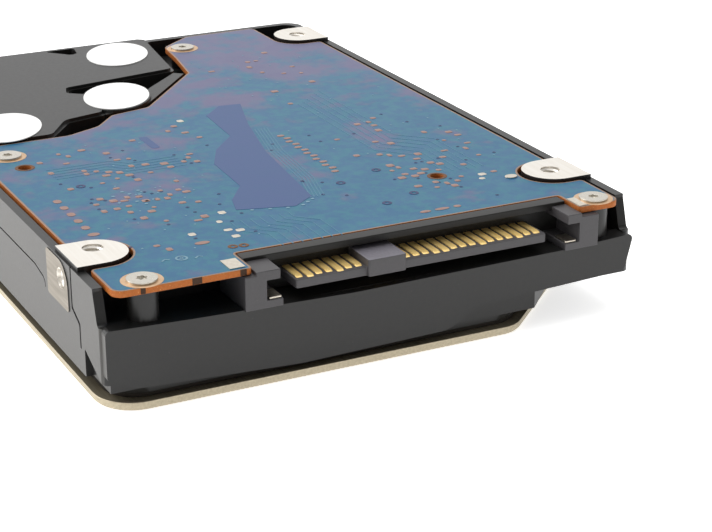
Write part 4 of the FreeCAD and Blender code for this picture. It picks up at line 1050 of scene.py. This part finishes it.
@dataclass
class Actuator:
    """The head arm, its voice coil motor, the ramp and the latch."""

    finishes: dict[str, Finish] = field(default_factory=lambda: {
        "arm_block": ARM_ALUMINIUM, "pivot_shaft": PIVOT_STEEL, "pivot_bearing": PIVOT_STEEL,
        "suspensions": SPRING_STEEL, "head_sliders": SLIDER, "coil_frame": BRACKET_RESIN,
        "voice_coil": COIL_WIRE, "preamplifier_chip": CHIP_EPOXY, "lower_yoke": YOKE_STEEL,
        "upper_yoke": YOKE_STEEL, "lower_magnet": MAGNET, "upper_magnet": MAGNET, "yoke_posts": YOKE_STEEL,
        "stage_screws": SCREW, "crash_stops": GASKET, "load_ramp": RAMP_RESIN, "inertia_latch": BRACKET_RESIN,
        "latch_pin": PIVOT_STEEL, "flex_bracket": BRACKET_RESIN, "feed_through_connector": CONNECTOR_PLASTIC})

    def build(self) -> None:
        """Dresses the actuator and builds its cable."""
        dress(self.finishes)
        HeadCable().build()


@dataclass
class HeadCable:
    """The printed cable to the heads: a thin ribbon on edge, curved between its foot and its landing."""

    foot: Point = (20.0, -32.925)
    bend_start: Point = (3.0, -32.925)
    bend_end: Point = (-6.4, -30.275)
    landing: Point = (-9.3, -30.275)
    low: float = 4.4
    high: float = 8.0
    thickness: float = 0.12
    conductors: int = 7
    conductor_width: float = 0.26
    conductor_rise: float = 0.03
    bend_points: int = 24

    def route(self) -> list[Point]:
        """The ribbon's middle line, from its foot to its landing."""
        first, last = Vector(self.bend_start), Vector(self.bend_end)
        pull_first, pull_last = Vector((-1.0, first.y)), Vector((-2.6, last.y))
        points = [self.foot]
        for i in range(self.bend_points + 1):
            t = i / self.bend_points
            at = ((1 - t) ** 3 * first + 3 * (1 - t) ** 2 * t * pull_first
                  + 3 * (1 - t) * t ** 2 * pull_last + t ** 3 * last)
            points.append((at.x, at.y))
        return points + [self.landing]

    def build(self) -> None:
        """Builds the ribbon with its conductors, curved between its foot and its landing, and shows it
        instead of the CAD cable.
        """
        ribbon = Solid()
        ribbon.strip(self.route(), self.thickness, self.low, self.high)
        step = (self.high - self.low) / (self.conductors + 1)
        for i in range(self.conductors):
            middle = self.low + step * (i + 1)
            ribbon.strip(self.route(), self.thickness + self.conductor_rise,
                         middle - self.conductor_width / 2, middle + self.conductor_width / 2, 1)
        bmesh.ops.recalc_face_normals(ribbon.bm, faces=ribbon.bm.faces)
        made = as_object(ribbon.bm, "head_cable", [POLYIMIDE, COATED_COPPER], 0.0)
        self.metres(self.bend_start)
        self.metres(self.bend_end)
        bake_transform(made)
        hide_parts("flex_cable")
        LOG.info("head_cable replaces flex_cable")

    def metres(self, at: Point) -> tuple[float, float, float]:
        """A point of the route at the ribbon's middle height, in metres."""
        return at[0] * MM, at[1] * MM, (self.low + self.high) / 2 * MM


# ---------------------------------------------------------------- the studio

@dataclass(frozen=True)
class Softbox:
    """A large soft light."""

    name: str
    place: tuple[float, float, float]
    target: tuple[float, float, float]
    width: float
    length: float
    watts: float
    colour: str = "ffffff"

    def build(self) -> None:
        """Hangs the light."""
        lamp = bpy.data.lights.new(self.name, "AREA")
        lamp.shape = "RECTANGLE"
        lamp.size, lamp.size_y, lamp.energy = self.width, self.length, self.watts
        lamp.color = linear(self.colour)[:3]
        made = bpy.data.objects.new(self.name, lamp)
        made.location = self.place
        aim = Vector(self.target) - Vector(self.place)
        made.rotation_euler = aim.to_track_quat("-Z", "Y").to_euler()
        bpy.context.scene.collection.objects.link(made)


@dataclass
class Studio:
    """A plain pale floor, soft light from behind and above, and the camera."""

    floor_reach: float = 3000.0
    floor_depth: float = 10.0
    sky_front: float = 0.27
    sky_rear: float = 1.05
    bright_side: tuple[float, float, float] = (-0.15, 0.97, 0.10)
    camera_place: tuple[float, float, float] = (-98.36, -238.79, 95.36)
    azimuth: float = -26.57
    elevation: float = 21.37
    roll: float = -0.20
    lens: float = 99.45
    sensor: float = 36.0
    near_clip: float = 0.01
    lights: tuple[Softbox, ...] = (
        Softbox("rear_left_softbox", (-0.75, 0.45, 0.55), (-0.05, 0.0, 0.0), 0.9, 0.9, 6.0),
        Softbox("overhead_softbox", (0.1, 0.1, 0.9), (0.0, 0.0, 0.0), 0.8, 0.8, 3.0),
    )

    def build(self) -> None:
        """Sets up the studio."""
        floor = Solid()
        reach = self.floor_reach
        floor.prism(plate(-reach, -reach, reach, reach), -self.floor_depth, 0.0)
        bmesh.ops.recalc_face_normals(floor.bm, faces=floor.bm.faces)
        as_object(floor.bm, "studio_floor", [LIT_TABLE], 0.0)
        self.backdrop()
        for light in self.lights:
            light.build()
        self.camera()
        bpy.context.scene.view_settings.view_transform = "Standard"

    def backdrop(self) -> None:
        """Surrounds the drive with white light, bright behind it and dimmer in front."""
        world = bpy.data.worlds.new("white_surround")
        world.use_nodes = True
        tree = world.node_tree
        tree.nodes.clear()
        way = add_node(tree, "ShaderNodeTexCoord").outputs["Generated"]
        rearward = add_node(tree, "ShaderNodeVectorMath", {0: way, 1: self.bright_side},
                            operation="DOT_PRODUCT")
        strength = add_node(tree, "ShaderNodeMapRange", {
            "Value": rearward.outputs["Value"], "From Min": -0.8, "From Max": 0.8,
            "To Min": self.sky_front, "To Max": self.sky_rear})
        light = add_node(tree, "ShaderNodeBackground", {
            "Color": linear("ffffff"), "Strength": strength.outputs["Result"]})
        add_node(tree, "ShaderNodeOutputWorld", {"Surface": light.outputs["Background"]})
        bpy.context.scene.world = world

    def camera(self) -> None:
        """Places the camera."""
        lens = bpy.data.cameras.new("studio_camera")
        lens.lens, lens.sensor_width = self.lens, self.sensor
        lens.clip_start = self.near_clip
        made = bpy.data.objects.new("studio_camera", lens)
        turn, lift, tilt = (math.radians(a) for a in (self.azimuth, self.elevation, self.roll))
        back = Vector((math.sin(turn) * math.cos(lift), -math.cos(turn) * math.cos(lift), math.sin(lift)))
        level = (-back).cross(Vector((0, 0, 1))).normalized()
        upright = level.cross(-back)
        right = math.cos(tilt) * level + math.sin(tilt) * upright
        up = math.cos(tilt) * upright - math.sin(tilt) * level
        made.matrix_world = Matrix.Translation(Vector(self.camera_place) * MM) @ Matrix(
            (right, up, back)).transposed().to_4x4()
        bpy.context.scene.collection.objects.link(made)
        bpy.context.scene.camera = made


def main() -> None:
    """Builds the drive in order, then its studio."""
    logging.basicConfig(level=logging.INFO, format="%(message)s")
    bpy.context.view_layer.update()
    parts = (Casting(), Cover(), Connector(), Board(), BoardUnderside(), DiscPack(), Actuator(), Studio())
    for part in parts:
        LOG.info("Building: %s", type(part).__name__)
        part.build()


if __name__ == "__main__":
    main()
